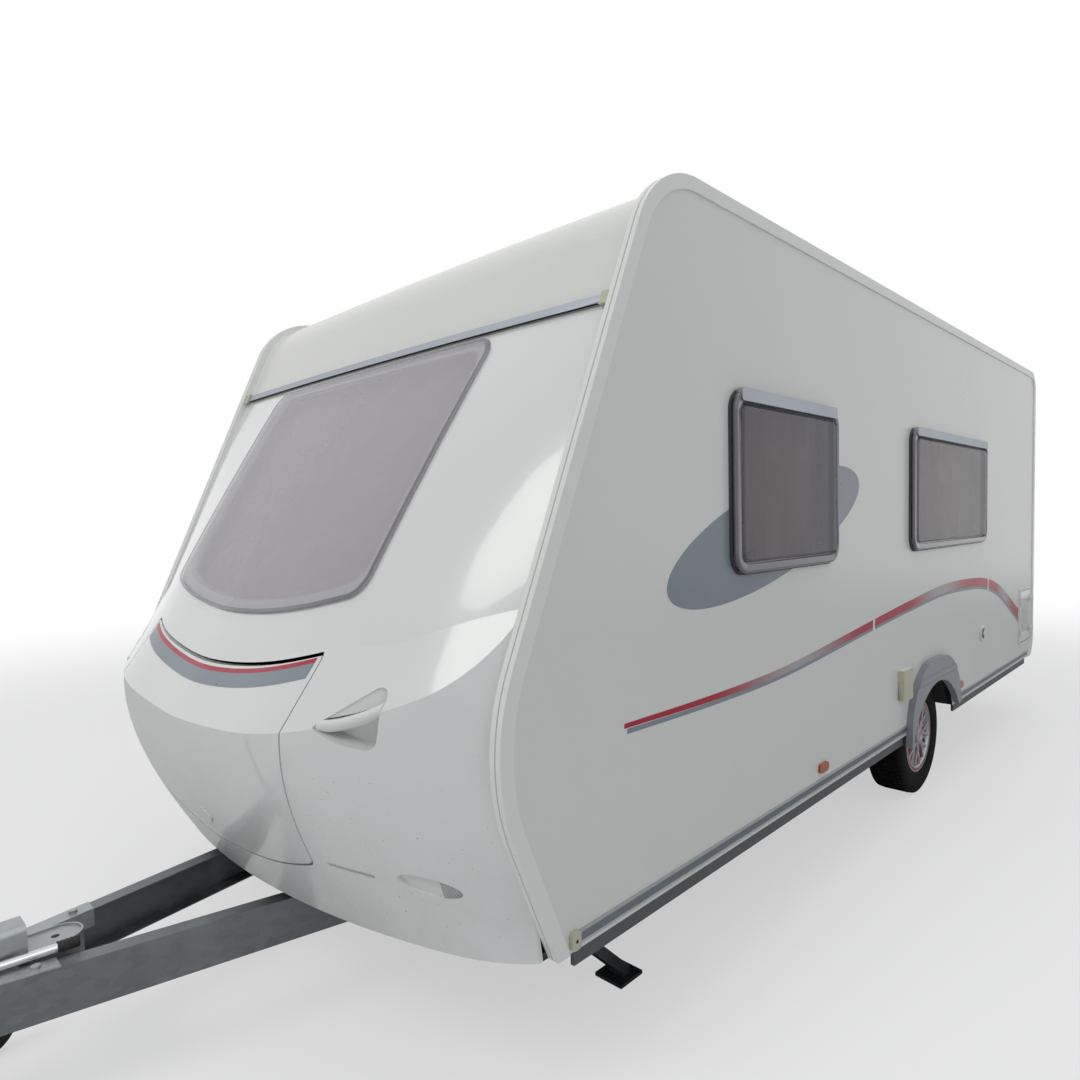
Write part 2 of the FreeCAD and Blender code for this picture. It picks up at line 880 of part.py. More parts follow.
door_axis_x = half_width + door_axis_stand
door_axis_y = station(door_station) - door_hinge_offset


def door_hinge_heights():
    """Middle heights of the door's three hinges."""
    return [door_foot + door_height * share for share in door_hinge_shares]


def hatch_hinge_heights():
    """Middle heights of the service hatch's two hinges."""
    return [hatch_foot + hatch_height * share for share in hatch_hinge_shares]


def hatch_barrel(height, side):
    """Half hinge: a barrel with a block to the frame (side -1) or a strap to the leaf (side 1)."""
    face_x = half_width + hatch_stand
    axis_x, axis_y = face_x + hatch_axis_rise, station(hatch_station) - hatch_hinge_offset
    low, high = height - hatch_barrel_length / 2, height + hatch_barrel_length / 2
    barrel = cylinder(hatch_barrel_radius, V(axis_x, axis_y, low), V(axis_x, axis_y, high))
    half = hatch_barrel_radius / 2
    if side < 0:
        return barrel.fuse(box(face_x, axis_x, axis_y - half, axis_y + half, low, high))
    far_y = axis_y + hatch_strap_reach
    strap = box(face_x + hatch_strap, axis_x, axis_y, far_y, low, high)
    pad = box(face_x, axis_x, far_y - hatch_frame, far_y, low, high)
    return barrel.fuse(strap).fuse(pad)


def door_knuckle(height, side):
    """Half hinge: a barrel on the door's axis with a leaf to the wall (side -1) or door (side 1)."""
    low = V(door_axis_x, door_axis_y, height - knuckle_length / 2)
    barrel = cylinder(knuckle_radius, low, low + V(0, 0, knuckle_length))
    base_x = half_width if side < 0 else half_width + door_stand
    far_y = door_axis_y + side * knuckle_reach
    leaf = box(base_x, door_axis_x, door_axis_y, far_y, low.z, low.z + knuckle_length)
    trim = box(base_x + knuckle_leaf, door_axis_x + overrun, far_y, door_axis_y + side * knuckle_radius,
               low.z - overrun, low.z + knuckle_length + overrun)
    return barrel.fuse(leaf.cut(trim)).removeSplitter()


def door_panel():
    """Entrance door leaf with its window cut out and its half hinges."""
    inner_x = inner_half + stop_depth + fit_gap
    leaf = side_panel(door_place, door_gap, door_corner, inner_x, half_width + door_stand)
    leaf = leaf.cut(side_panel(door_window_place, window_lap, window_corner, inner_x - overrun,
                               half_width + overrun * 2))
    for height in door_hinge_heights():
        leaf = leaf.fuse(door_knuckle(height + knuckle_length / 2 + fit_gap, 1))
    return mirrored(leaf.removeSplitter())


def door_window():
    """Fixed pane set in the door."""
    inner_x = inner_half + stop_depth + fit_gap
    plug = side_panel(door_window_place, window_lap, window_corner, inner_x, half_width + door_stand)
    lip = side_panel(door_window_place, 0, window_corner, half_width + door_stand,
                     half_width + door_stand + door_pane_rise)
    return mirrored(plug.fuse(lip).removeSplitter())


def door_fittings():
    """Paddle handle near the door's free edge."""
    right = station(door_station) + door_width - handle_margin
    start_x = half_width + door_stand
    plate_shape = panel(right - handle_width, right, handle_height, handle_height + handle_length,
                        handle_width / 4, start_x, start_x + handle_stand / 2)
    inset = handle_width / 6
    paddle = panel(right - handle_width + inset, right - inset, handle_height + inset,
                   handle_height + handle_length - inset, inset, start_x, start_x + handle_stand)
    return mirrored(plate_shape.fuse(paddle).removeSplitter())


def service_hatch():
    """Leaf of the service hatch with its two round latches."""
    inner_x = inner_half + stop_depth + fit_gap
    leaf = side_panel(hatch_place, hatch_gap, hatch_corner, inner_x, half_width + hatch_stand)
    far_y = station(hatch_station) + hatch_width - hatch_corner * 2
    for share in hatch_latch_shares:
        centre = V(half_width + hatch_stand, far_y, hatch_foot + hatch_height * share)
        leaf = leaf.fuse(cylinder(hatch_frame, centre, centre + V(hatch_stand / 2, 0, 0)))
    for height in hatch_hinge_heights():
        leaf = leaf.fuse(hatch_barrel(height + hatch_barrel_length / 2 + fit_gap, 1))
    return leaf.removeSplitter()


def service_bay():
    """Open-fronted bay behind the service hatch."""
    grow = -hatch_stop
    outer = side_panel(hatch_place, grow, hatch_corner, inner_half - bay_depth, inner_half)
    inner = side_panel(hatch_place, grow + bay_wall, hatch_corner, inner_half - bay_depth + bay_wall,
                       inner_half + overrun)
    return outer.cut(inner)


def front_cap():
    """Upper front panel that bends back into the roof."""
    keep = box(-half_width, half_width, nose_y - nose_bow, cap_back_y + overrun, rail_height,
               roof_height + overrun)
    return nose_shell.common(keep)


def lid_flange():
    """Seal land behind the lid's sides and foot."""
    ring = lid_prism(-lid_land).cut(lid_prism(lid_land))
    skin = nose_inner.cut(nose_block(moulding + lid_land, inner_half))
    high = lid_hinge_height - lid_land * 4
    low = box(-half_width, half_width, nose_y - nose_bow, cap_back_y, sill_height, high)
    return ring.common(skin).common(low)


def front_moulding():
    """Moulded nose with its brow, hand holds, lamp recesses and openings."""
    keep = box(-half_width, half_width, nose_y - nose_bow * 2, cap_back_y + overrun, 0, rail_height)
    shape = nose_shell.common(keep)
    wide_reach = inner_half + overrun
    pod = grip_prism(grip_depth / 2).common(nose_outer).cut(nose_block(grip_depth + moulding / 2, wide_reach))
    pocket = grip_prism(0).cut(nose_block(grip_depth, wide_reach)).cut(grip_ramp())
    recess = lamp_prism(0).cut(nose_block(lamp_depth, wide_reach))
    slot = slot_prism().cut(nose_block(slot_depth, wide_reach))
    for turn in (lambda item: item, mirrored):
        shape = shape.fuse(turn(pod)).cut(turn(pocket)).cut(turn(recess)).cut(turn(slot))
    shape = shape.cut(pane_prism(pane_lap)).cut(lid_prism(0)).fuse(lid_flange())
    return shape.removeSplitter()


def front_window():
    """Large bowed front pane, lapping its opening."""
    proud = nose_block(-pane_stand, inner_half).cut(nose_block(-fit_gap, inner_half + overrun))
    return pane_prism(0).common(proud)


def locker_lid():
    """Lid of the front locker with its oval latch."""
    body = nose_outer.cut(nose_block(moulding - fit_gap, inner_half + overrun))
    lid = lid_prism(lid_gap).cut(lid_brow(lid_top_gap)).common(body)
    latch = latch_prism().common(nose_block(-latch_stand, inner_half))
    latch = latch.cut(nose_block(moulding / 2, inner_half))
    return lid.fuse(latch).removeSplitter()


def latch_prism():
    """Oval outline of the lid's latch."""
    start_y = nose_y - nose_bow - overrun
    oval = Part.Ellipse(V(0, 0, 0), latch_length / 2, latch_width / 2).toShape()
    oval.rotate(V(0, 0, 0), V(1, 0, 0), 90)
    oval.translate(V(0, start_y, latch_height))
    return Part.Face(Part.Wire([oval])).extrude(V(0, nose_bow * 2, 0))


def grab_handles():
    """Round bowed bars across the two hand holds, flush with the skin."""
    radius = grip_bar / 2
    last = grip_bar_points - 1
    line = [grip_line(index / last, radius) for index in range(grip_bar_points)]
    start, end = line[0], line[-1]
    line = ([start - (line[1] - start) * grip_overshoot_share] + line
            + [end + (end - line[-2]) * grip_overshoot_share])
    path = Part.Wire([spline(line)])
    circle = Part.Wire([Part.Circle(line[0], line[1] - line[0], radius).toShape()])
    bar = path.makePipeShell([circle], True, False)
    upper_rise = (grip_top_height - grip_apex_height) / (grip_outer - grip_inner)
    trim = nose_prism((
        (grip_inner + grip_tip_trim, grip_apex_height - grip_bar),
        (grip_outer - grip_foot_inset, grip_foot_height),
        (grip_outer, grip_top_height),
        (grip_inner + grip_tip_trim, grip_apex_height + upper_rise * grip_tip_trim),
    ), 0)
    chord = nose_prism((
        (grip_inner, grip_apex_height), (grip_outer - grip_foot_inset, grip_foot_height),
        (grip_outer, grip_top_height),
    ), 0)
    return both_sides(bar.common(trim).common(chord))


def front_lamps():
    """Clear marker lenses in the outer ends of their recesses."""
    outer_end = box(lamp_half + lens_start, half_width, front_limit, cap_back_y, 0, roof_height)
    lens = lamp_prism(-lens_gap).common(outer_end).common(nose_block(lamp_depth / 4, inner_half))
    return both_sides(lens.cut(nose_block(lamp_depth, inner_half + overrun)))


def locker_tub():
    """Floor, bulkhead and shelf of the front locker."""
    y = station(bulkhead_station)
    front = nose_y - nose_bow * 2
    floor_part = box(-inner_half, inner_half, front, y, sill_height,
                     sill_height + locker_floor).common(nose_fit)
    high = locker_shelf_height + locker_floor
    bulkhead = box(-inner_half, inner_half, y, y + locker_floor, sill_height + board, high)
    shelf = box(-inner_half, inner_half, front, y, locker_shelf_height, high).common(nose_fit)
    step = box(-inner_half, inner_half, y, y + locker_floor, sill_height, sill_height + board)
    return floor_part.fuse(shelf).fuse(bulkhead).fuse(step).removeSplitter()


def floor():
    """Floor board from the locker's bulkhead to the tail, notched for the wheels."""
    front = station(bulkhead_station) + locker_floor
    shape = box(-inner_half, inner_half, front, tail_split_y, sill_height, sill_height + board)
    notch = arch(arch_liner, inner_half - arch_depth, inner_half + overrun)
    return shape.cut(notch).cut(mirrored(notch))


def roof():
    """Roof board with two rooflight holes."""
    shape = box(-inner_half, inner_half, cap_back_y, tail_split_y, roof_height - wall, roof_height)
    for place in hatchlight_stations:
        half = hatchlight_size / 2 - hatchlight_frame
        y = station(place)
        shape = shape.cut(box(-half, half, y - half, y + half, roof_height - wall * 2, roof_height + wall))
    return shape


def tail_panel_prism(half, foot, height, corner, y0, y1):
    """Upright plate square to Y with round corners."""
    upright = box(-half, half, y0, y1, foot, foot + height)
    edges = [edge for edge in upright.Edges if abs(edge.tangentAt(edge.FirstParameter).y) > straight_share]
    return upright.makeFillet(corner, edges)


def rear_panel():
    """Tail panel, bent forward at the roof and the floor."""
    ring = side_slab(0, -inner_half, inner_half).cut(side_slab(-wall, -half_width, half_width))
    keep = box(-half_width, half_width, tail_split_y, back_limit, 0, roof_height + overrun)
    shape = ring.common(keep)
    half = tail_window_width / 2 - window_lap
    hole = tail_panel_prism(half, tail_window_foot + window_lap, tail_window_height - window_lap * 2,
                            window_corner - window_lap, tail_y - wall - overrun, tail_y + overrun)
    return shape.cut(hole)


def tail_frame_pieces():
    """Seal and pane of the rear window."""
    half = tail_window_width / 2
    inner = half - window_lap
    bore = inner - frame_stand
    lining = tail_panel_prism(inner, tail_window_foot + window_lap, tail_window_height - window_lap * 2,
                              window_corner - window_lap, tail_y - wall, tail_y)
    flange = tail_panel_prism(half, tail_window_foot, tail_window_height, window_corner, tail_y,
                              tail_y + tail_flange)
    inset = window_lap + frame_stand
    hole = tail_panel_prism(bore, tail_window_foot + inset, tail_window_height - inset * 2,
                            window_corner - inset, tail_y - wall - overrun, tail_y + overrun)
    frame = lining.fuse(flange).cut(hole).removeSplitter()
    low = tail_window_foot + tail_flange
    tall = tail_window_height - tail_flange - hinge_rail_height
    pane = tail_panel_prism(half - tail_flange, low, tall, window_corner - tail_flange,
                            tail_y + tail_flange, tail_y + tail_flange * 3)
    rail = box(-half + window_corner / 2, half - window_corner / 2, tail_y + tail_flange,
               tail_y + tail_flange * 3,
               low + tall, tail_window_foot + tail_window_height)
    return frame, pane, rail


def window_frames():
    """Seals of all the opening windows."""
    shapes = [window_frame(place) for place in side_windows_left]
    shapes += [mirrored(window_frame(place)) for place in side_windows_right]
    return Part.makeCompound(shapes + [tail_frame_pieces()[0]])


def window_panes():
    """Panes of all the opening windows."""
    shapes = [window_pane(place) for place in side_windows_left]
    shapes += [mirrored(window_pane(place)) for place in side_windows_right]
    return Part.makeCompound(shapes + [tail_frame_pieces()[1]])


def window_rails():
    """Hinge rails of all the opening windows."""
    shapes = [window_hinge_rail(place) for place in side_windows_left]
    shapes += [mirrored(window_hinge_rail(place)) for place in side_windows_right]
    return Part.makeCompound(shapes + [tail_frame_pieces()[2]])


def curtain_spot(place):
    """Curtain slab and its rail inside a side window."""
    start, width, foot, height = place
    y0, y1 = station(start) - curtain_lap, station(start) + width + curtain_lap
    face_x = inner_half - curtain_clear
    top = foot + height + curtain_lap
    slab_shape = box(face_x - curtain_thickness, face_x, y0, y1, foot - curtain_lap, top)
    rail = box(face_x, inner_half, y0, y1, top - curtain_rail, top)
    return slab_shape, rail


def front_curtain():
    """Curtain slab and its rail behind the front window."""
    high = rail_height - curtain_rail
    front_depth = moulding + front_curtain_gap
    behind = nose_block(front_depth + curtain_thickness, inner_half + overrun)
    low = locker_shelf_height + locker_floor + fit_gap
    half, front = front_curtain_half, nose_y - nose_bow
    slab_shape = box(-half, half, front, cap_back_y, low, high - curtain_rail)
    slab_shape = slab_shape.common(nose_block(front_depth, inner_half)).cut(behind)
    rail = box(-half, half, front, cap_back_y, high - curtain_rail, high)
    return slab_shape, rail.common(nose_fit).cut(behind)


def tail_curtain():
    """Curtain slab and its rail inside the rear window."""
    half = tail_window_width / 2 + curtain_lap
    face_y = tail_y - wall - curtain_clear
    top = tail_window_foot + tail_window_height + curtain_lap
    slab_shape = box(-half, half, face_y - curtain_thickness, face_y, tail_window_foot - curtain_lap, top)
    rail = box(-half, half, face_y, tail_y - wall, top - curtain_rail, top)
    return slab_shape, rail


def curtain_pairs():
    """Every curtain slab with its rail."""
    pairs = [curtain_spot(place) for place in side_windows_left]
    for place in side_windows_right:
        pairs.append(tuple(mirrored(shape) for shape in curtain_spot(place)))
    return pairs + [front_curtain(), tail_curtain()]


def curtains():
    """Plain slabs in the curtains' places."""
    return Part.makeCompound([pair[0] for pair in curtain_pairs()])


def curtain_rails():
    """Rails that carry the curtains."""
    return Part.makeCompound([pair[1] for pair in curtain_pairs()])


def awning_rails():
    """Corner rails that run from the nose's foot over the roof to the tail's foot."""
    high_x = half_width + rail_stand
    ring = side_slab(rail_grow, inner_half, high_x).cut(side_slab(0, inner_half - overrun, high_x + overrun))
    lap = side_slab(0, half_width, high_x).cut(side_slab(-rail_lap, half_width - overrun, high_x + overrun))
    groove_x = (inner_half + high_x - groove_width) / 2
    groove = side_slab(rail_grow + overrun, groove_x, groove_x + groove_width)
    groove = groove.cut(side_slab(rail_grow - groove_depth, groove_x - overrun, groove_x + overrun))
    low = box(0, wide, front_limit, back_limit, 0, sill_height)
    start = sill_trim_start() - cap_length - run_gap / 2
    middle = box(0, wide, start, tail_y - tail_bottom_radius, 0, sill_height + rail_lap)
    return both_sides(ring.fuse(lap).removeSplitter().cut(groove).cut(low).cut(middle))


def front_rail():
    """Straight channel across the nose above the window."""
    band = box(-bar_end, bar_end, nose_y - nose_bow, cap_back_y, rail_height - bar_half,
               rail_height + bar_half)
    skin = nose_block(-bar_stand, inner_half).cut(nose_block(-fit_gap, inner_half + overrun))
    return band.common(skin)


def rail_caps():
    """Cream end caps of the front rail and of the sill trims."""
    band = box(bar_end, bar_end + cap_length, nose_y - nose_bow, cap_back_y, rail_height - cap_half,
               rail_height + cap_half)
    skin = nose_block(-cap_stand, inner_half).cut(nose_block(-fit_gap, inner_half + overrun))
    top = band.common(skin)
    start = sill_trim_start()
    middle = (sill_trim_low + sill_trim_high) / 2
    foot = panel(start - cap_length, start, middle - cap_half * cap_foot_share,
                 middle + cap_half * cap_foot_share, cap_half / 2,
                 half_width, half_width + sill_trim_stand * 2)
    return Part.makeCompound([top, mirrored(top), foot, mirrored(foot)])


def sill_trim_start():
    """Y where the sill trim starts behind the front cap."""
    return chin_y + chin * (chin_height - sill_trim_low) + rail_lap + cap_length + run_gap


def sill_runs():
    """Y ranges of the sill trim ahead of and behind the fender."""
    front = (sill_trim_start(), axle_y - fender_foot_half)
    back = (axle_y + fender_foot_half, tail_y - tail_bottom_radius)
    return front, back


def sill_trims():
    """Ribbed bright strips along the walls' feet."""
    shapes = []
    for y0, y1 in sill_runs():
        strip = box(half_width, half_width + sill_trim_stand, y0, y1, sill_trim_low, sill_trim_high)
        rib = sill_trim_stand
        channel = box(half_width + rib / 2, half_width + rib * 2, y0 - overrun, y1 + overrun,
                      sill_trim_low + rib, sill_trim_high - rib)
        strip = strip.cut(channel)
        shapes += [strip, mirrored(strip)]
    return Part.makeCompound(shapes)


def skirts():
    """Dark strips below the walls."""
    outer_x = half_width - skirt_in
    shapes = []
    for y0, y1 in sill_runs():
        strip = box(outer_x - skirt_thickness, outer_x, y0, y1, sill_height - skirt_drop, sill_height)
        shapes += [strip, mirrored(strip)]
    return Part.makeCompound(shapes)


def fenders():
    """Moulded arches around the wheels."""
    outer_half = fender_foot_half
    front_share, rear_share = fender_shoulder_shares
    points = (
        (axle_y - outer_half, fender_front_foot), (axle_y - outer_half * front_share, fender_top),
        (axle_y + outer_half * rear_share, fender_top), (axle_y + outer_half, fender_rear_foot),
    )
    radii = (0, fender_round, fender_round, 0)
    outer = slab(points, radii, half_width, half_width + fender_stand)
    centre = V(0, axle_y, fender_open_top - fender_open_radius)
    hole = cylinder(fender_open_radius, centre + V(half_width - overrun, 0, 0), centre + V(wide, 0, 0))
    face_x = half_width + fender_stand
    seam = box(face_x - fender_seam, wide, front_limit, back_limit, fender_band_foot - fender_seam,
               fender_band_foot)
    low_edge = fender_band_foot + fender_band
    band = slab(points, radii, face_x, face_x + fender_seam)
    band = band.common(box(0, wide, front_limit, back_limit, fender_band_foot, low_edge))
    return both_sides(outer.cut(hole).cut(seam).fuse(band).removeSplitter())


def wheel_boxes():
    """Dark liners over the wheels."""
    inner_x = inner_half - arch_depth
    shell = arch(arch_liner, inner_x, inner_half).cut(arch(0, inner_x + arch_liner, inner_half + overrun))
    return both_sides(shell.common(box(0, wide, front_limit, back_limit, sill_height, roof_height)))


def tyre(side):
    """Tyre with square shoulders and a bead seat."""
    inner_x = tyre_outer_x - tyre_width
    shoulder = tyre_width * tyre_shoulder_share
    profile = [
        (inner_x + shoulder * tyre_seat_share, rim_radius),
        (inner_x, rim_radius + (tyre_radius - rim_radius) / 2),
        (inner_x + shoulder / 2, tyre_radius - shoulder / 2), (inner_x + shoulder, tyre_radius),
        (tyre_outer_x - shoulder, tyre_radius), (tyre_outer_x - shoulder / 2, tyre_radius - shoulder / 2),
        (tyre_outer_x, rim_radius + (tyre_radius - rim_radius) / 2),
        (tyre_outer_x - shoulder * tyre_seat_share, rim_radius),
    ]
    wire = Part.makePolygon([V(x, axle_y, tyre_radius + radius) for x, radius in profile + profile[:1]])
    shape = Part.Face(wire).revolve(hub, V(1, 0, 0), 360)
    return shape if side > 0 else mirrored(shape)


def wheel(side):
    """Rim with a dished centre, and the brake drum behind it."""
    inner_x = tyre_outer_x - tyre_width
    lip_in, lip_out = inner_x + tyre_width * lip_inner_share, tyre_outer_x - tyre_width * lip_outer_share
    barrel_radius = rim_radius - rim_lip * 2
    barrel = cylinder(rim_radius, hub + V(lip_in, 0, 0), hub + V(lip_out, 0, 0))
    bore = cylinder(rim_radius - rim_lip, hub + V(lip_in - overrun, 0, 0), hub + V(lip_out + overrun, 0, 0))
    dish_x = lip_out - rim_lip * 2
    dish = cylinder(rim_radius - rim_lip / 2, hub + V(dish_x - rim_lip, 0, 0),
                    hub + V(dish_x + rim_lip / 2, 0, 0))
    window_radius = barrel_radius * math.pi / spoke_count * wheel_window_share
    for index in range(spoke_count):
        angle = 2 * math.pi * index / spoke_count
        centre = hub + V(0, math.cos(angle), math.sin(angle)) * (barrel_radius * wheel_window_circle_share)
        dish = dish.cut(cylinder(window_radius, centre + V(dish_x - overrun, 0, 0),
                                 centre + V(dish_x + overrun, 0, 0)))
    cap = cylinder(hub_radius, hub + V(dish_x - rim_lip, 0, 0), hub + V(dish_x + rim_lip * 2, 0, 0))
    drum = cylinder(drum_radius, hub + V(dish_x - rim_lip - drum_width, 0, 0),
                    hub + V(dish_x - rim_lip, 0, 0))
    shape = barrel.cut(bore).fuse(dish).fuse(cap).fuse(drum).removeSplitter()
    return shape if side > 0 else mirrored(shape)


def drum_back_x():
    """X of the drum's inner face."""
    return tyre_outer_x - tyre_width * lip_outer_share - rim_lip * 3 - drum_width


beam_y = axle_y - beam_ahead


def axle_beam():
    """Square axle tube, hung from the chassis rails by two brackets."""
    end = inner_half - arch_depth - run_gap
    half = beam_side / 2
    tube = box(-end, end, beam_y - half, beam_y + half, beam_height - half, beam_height + half)
    bore = half - plate * beam_wall_share
    hole = box(-end - overrun, end + overrun, beam_y - bore, beam_y + bore, beam_height - bore,
               beam_height + bore)
    return tube.cut(hole)


def trailing_arms():
    """Trailing arms with their brake backplates and spindles."""
    end = inner_half - arch_depth - run_gap
    back_x = drum_back_x()
    start, finish = V(end, beam_y, beam_height), V(end, axle_y, tyre_radius)
    half = arm_height / 2
    across = V(arm_thickness, 0, 0)
    boss = cylinder(half, start, start + across)
    eye = cylinder(half, finish, finish + across)
    run = (finish - start).normalize()
    up = V(0, -run.z, run.y) * half
    web = Part.Face(Part.makePolygon([start + up, finish + up, finish - up, start - up,
                                      start + up])).extrude(across)
    spindle = cylinder(spindle_radius, finish, V(back_x - fit_gap, axle_y, tyre_radius))
    plate_x = back_x - run_gap
    backplate = cylinder(drum_radius, V(plate_x - rim_lip, axle_y, tyre_radius),
                         V(plate_x, axle_y, tyre_radius))
    return both_sides(boss.fuse(eye).fuse(web).fuse(spindle).fuse(backplate).removeSplitter())


def drawbar(side):
    """One channel of the drawbar, open towards the middle."""
    run = math.hypot(1, drawbar_slope)
    width, thick = drawbar_flange * run, plate * run

    def x_at(distance, out):
        return (distance - drawbar_apex_station) * drawbar_slope + out

    back = drawbar_apex_station + (rail_half - plate - width) / drawbar_slope

    def plan(out0, out1, z0, z1):
        corners = [
            (x_at(drawbar_front_station, out0), drawbar_front_station),
            (x_at(drawbar_front_station, out1), drawbar_front_station),
            (x_at(back, out1), back), (x_at(back, out0), back),
        ]
        loop = [V(x, station(distance), z0) for x, distance in corners + corners[:1]]
        return Part.Face(Part.makePolygon(loop)).extrude(V(0, 0, z1 - z0))
    low, top = drawbar_top - drawbar_height, drawbar_top
    shape = plan(0, width, top - plate, top).fuse(plan(0, width, low, low + plate))
    shape = shape.fuse(plan(width - thick, width, low, top))
    shape = shape.removeSplitter()
    return shape if side > 0 else mirrored(shape)


def drawbar_back_station():
    """Station where the drawbar meets the chassis rail."""
    width = drawbar_flange * math.hypot(1, drawbar_slope)
    return drawbar_apex_station + (rail_half - plate - width) / drawbar_slope


def chassis_rails():
    """Two channels under the floor, open outwards."""
    front, back = station(drawbar_back_station() - drawbar_flange * 4), station(rail_back_station)
    top, low = sill_height, sill_height - rail_depth
    web = box(rail_half - plate, rail_half, front, back, low, top)
    upper = box(rail_half - plate, rail_half + rail_flange, front, back, top - plate, top)
    lower = box(rail_half - plate, rail_half + rail_flange, front, back, low, low + plate)
    shape = web.fuse(upper).fuse(lower)
    return both_sides(shape.removeSplitter())


def cross_members():
    """Square tubes across the chassis, under the floor."""
    shapes = []
    for distance in beam_stations[:2]:
        y = station(distance)
        shapes.append(box(-cross_half, cross_half, y, y + sill_height - drawbar_top, drawbar_top,
                          sill_height))
    low = sill_height - rail_depth + plate
    for distance in beam_stations[2:]:
        y = station(distance)
        end = rail_half - plate
        shapes.append(box(-end, end, y, y + rail_flange, low, sill_height - plate))
    return Part.makeCompound(shapes)


def overrun_housing():
    """Overrun device between the drawbar's channels, with wings over their flanges."""
    y0, y1 = station(housing_station), station(housing_back_station)
    low, high = drawbar_top - housing_drop, drawbar_top + housing_rise
    body = box(-housing_half, housing_half, y0, y1, low, high)
    body = body.makeFillet(housing_half / 3,
                           [edge for edge in body.Edges if edge.BoundBox.YLength > housing_half * 3])
    shape = body.fuse(housing_pan(low))
    for side, back in ((1, wing_left_station), (-1, wing_right_station)):
        wing = housing_wing(back)
        shape = shape.fuse(wing if side > 0 else mirrored(wing))
    for side in (1, -1):
        shape = shape.cut(drawbar(side))
    bore_low = V(0, y0 - overrun, coupling_height)
    socket = cylinder(shaft_radius + fit_gap, bore_low, bore_low + V(0, overrun * 4, 0))
    return shape.cut(socket).removeSplitter()


def housing_pan(low):
    """Flat round-ended back of the overrun device, with a raised lip and the brake rod's hole."""
    front, middle = station(housing_back_station) - overrun, station(pan_back_station) - pan_radius

    def block(radius, z0, z1):
        end = cylinder(radius, V(0, middle, z0), V(0, middle, z1))
        return end.fuse(box(-radius, radius, front, middle, z0, z1))
    top = drawbar_top + pan_rise
    pan = block(pan_radius, low, top + pan_lip)
    pan = pan.cut(block(pan_radius - pan_lip, top, top + overrun))
    hole = cylinder(rod_hole_radius, V(0, middle - pan_lip * 2, low - overrun),
                    V(0, middle - pan_lip * 2, top + overrun))
    return pan.cut(hole)


def channel_x(distance, share):
    """X across the left channel's top flange, from its inner lip (0) to its web (1)."""
    width = drawbar_flange * math.hypot(1, drawbar_slope)
    return (distance - drawbar_apex_station) * drawbar_slope + width * share


def housing_wing(back):
    """Plate that ties the overrun device to the left channel, as far back as a station."""
    front, step = wing_station, wing_station + pan_radius
    plan = [
        (0, front), (channel_x(front, 1), front), (channel_x(back, 1), back),
        (channel_x(back, 0) - plate, back),
        (channel_x(step, 0) - plate, step), (0, step),
    ]

    def plate_shape(corners, z0, z1):
        loop = [V(x, station(distance), z0) for x, distance in corners + corners[:1]]
        return Part.Face(Part.makePolygon(loop)).extrude(V(0, 0, z1 - z0))
    cheek = [
        (channel_x(step, 0) - plate, step), (channel_x(back, 0) - plate, back), (channel_x(back, 0), back),
        (channel_x(step, 0), step),
    ]
    shape = plate_shape(plan, drawbar_top, drawbar_top + plate)
    shape = shape.fuse(plate_shape(cheek, drawbar_top - cheek_drop, drawbar_top + plate))
    bolt = back - cheek_drop
    middle = V(channel_x(bolt, nut_share), station(bolt), drawbar_top)
    nut = cylinder(nut_radius, middle, middle + V(0, 0, plate + nut_height))
    boss = V(channel_x(bolt, 0), station(bolt), drawbar_top - cheek_drop / 2)
    pad = cylinder(nut_radius, boss, boss - V(plate + nut_height, 0, 0))
    return shape.fuse(nut).fuse(pad).removeSplitter()


def coupling_head():
    """Ball coupling with its shaft back into the overrun device."""
    length = head_length
    body = box(-head_half, head_half, station(0), station(length), coupling_height - socket_length,
               coupling_height + head_top)
    nose_edges = [edge for edge in body.Edges
                  if edge.BoundBox.ZLength > head_half and edge.BoundBox.YMax < station(length / 2)]
    body = body.makeFillet(head_half * head_round_share, nose_edges)
    top_edges = [edge for edge in body.Edges if edge.BoundBox.ZMin > coupling_height + head_top - fit_gap]
    body = body.makeFillet(head_half / 4, top_edges)
    centre = V(0, station(ball_station), coupling_height)
    socket = cylinder(ball_radius, centre - V(0, 0, socket_length + overrun), centre)
    cup = Part.makeSphere(ball_radius, centre)
    body = body.cut(socket).cut(cup)
    back = station(housing_station + overrun)
    shaft_low = V(0, station(length) - overrun, coupling_height)
    shaft = cylinder(shaft_radius, shaft_low, V(0, back, coupling_height))
    return body.fuse(shaft).removeSplitter()


def bellows():
    """Rubber bellows round the coupling's shaft."""
    y0, y1 = station(head_length), station(housing_station)
    pitch = (y1 - y0) / bellows_folds
    points = [V(0, y0, coupling_height + shaft_radius + fit_gap)]
    for index in range(bellows_folds):
        points.append(V(0, y0 + pitch * index, coupling_height + bellows_radius * bellows_valley_share))
        points.append(V(0, y0 + pitch * (index + 1 / 2), coupling_height + bellows_radius))
    points.append(V(0, y1, coupling_height + bellows_radius * bellows_valley_share))
    points.append(V(0, y1, coupling_height + shaft_radius + fit_gap))
    wire = Part.makePolygon(points + points[:1])
    return Part.Face(wire).revolve(V(0, 0, coupling_height), V(0, 1, 0), 360)


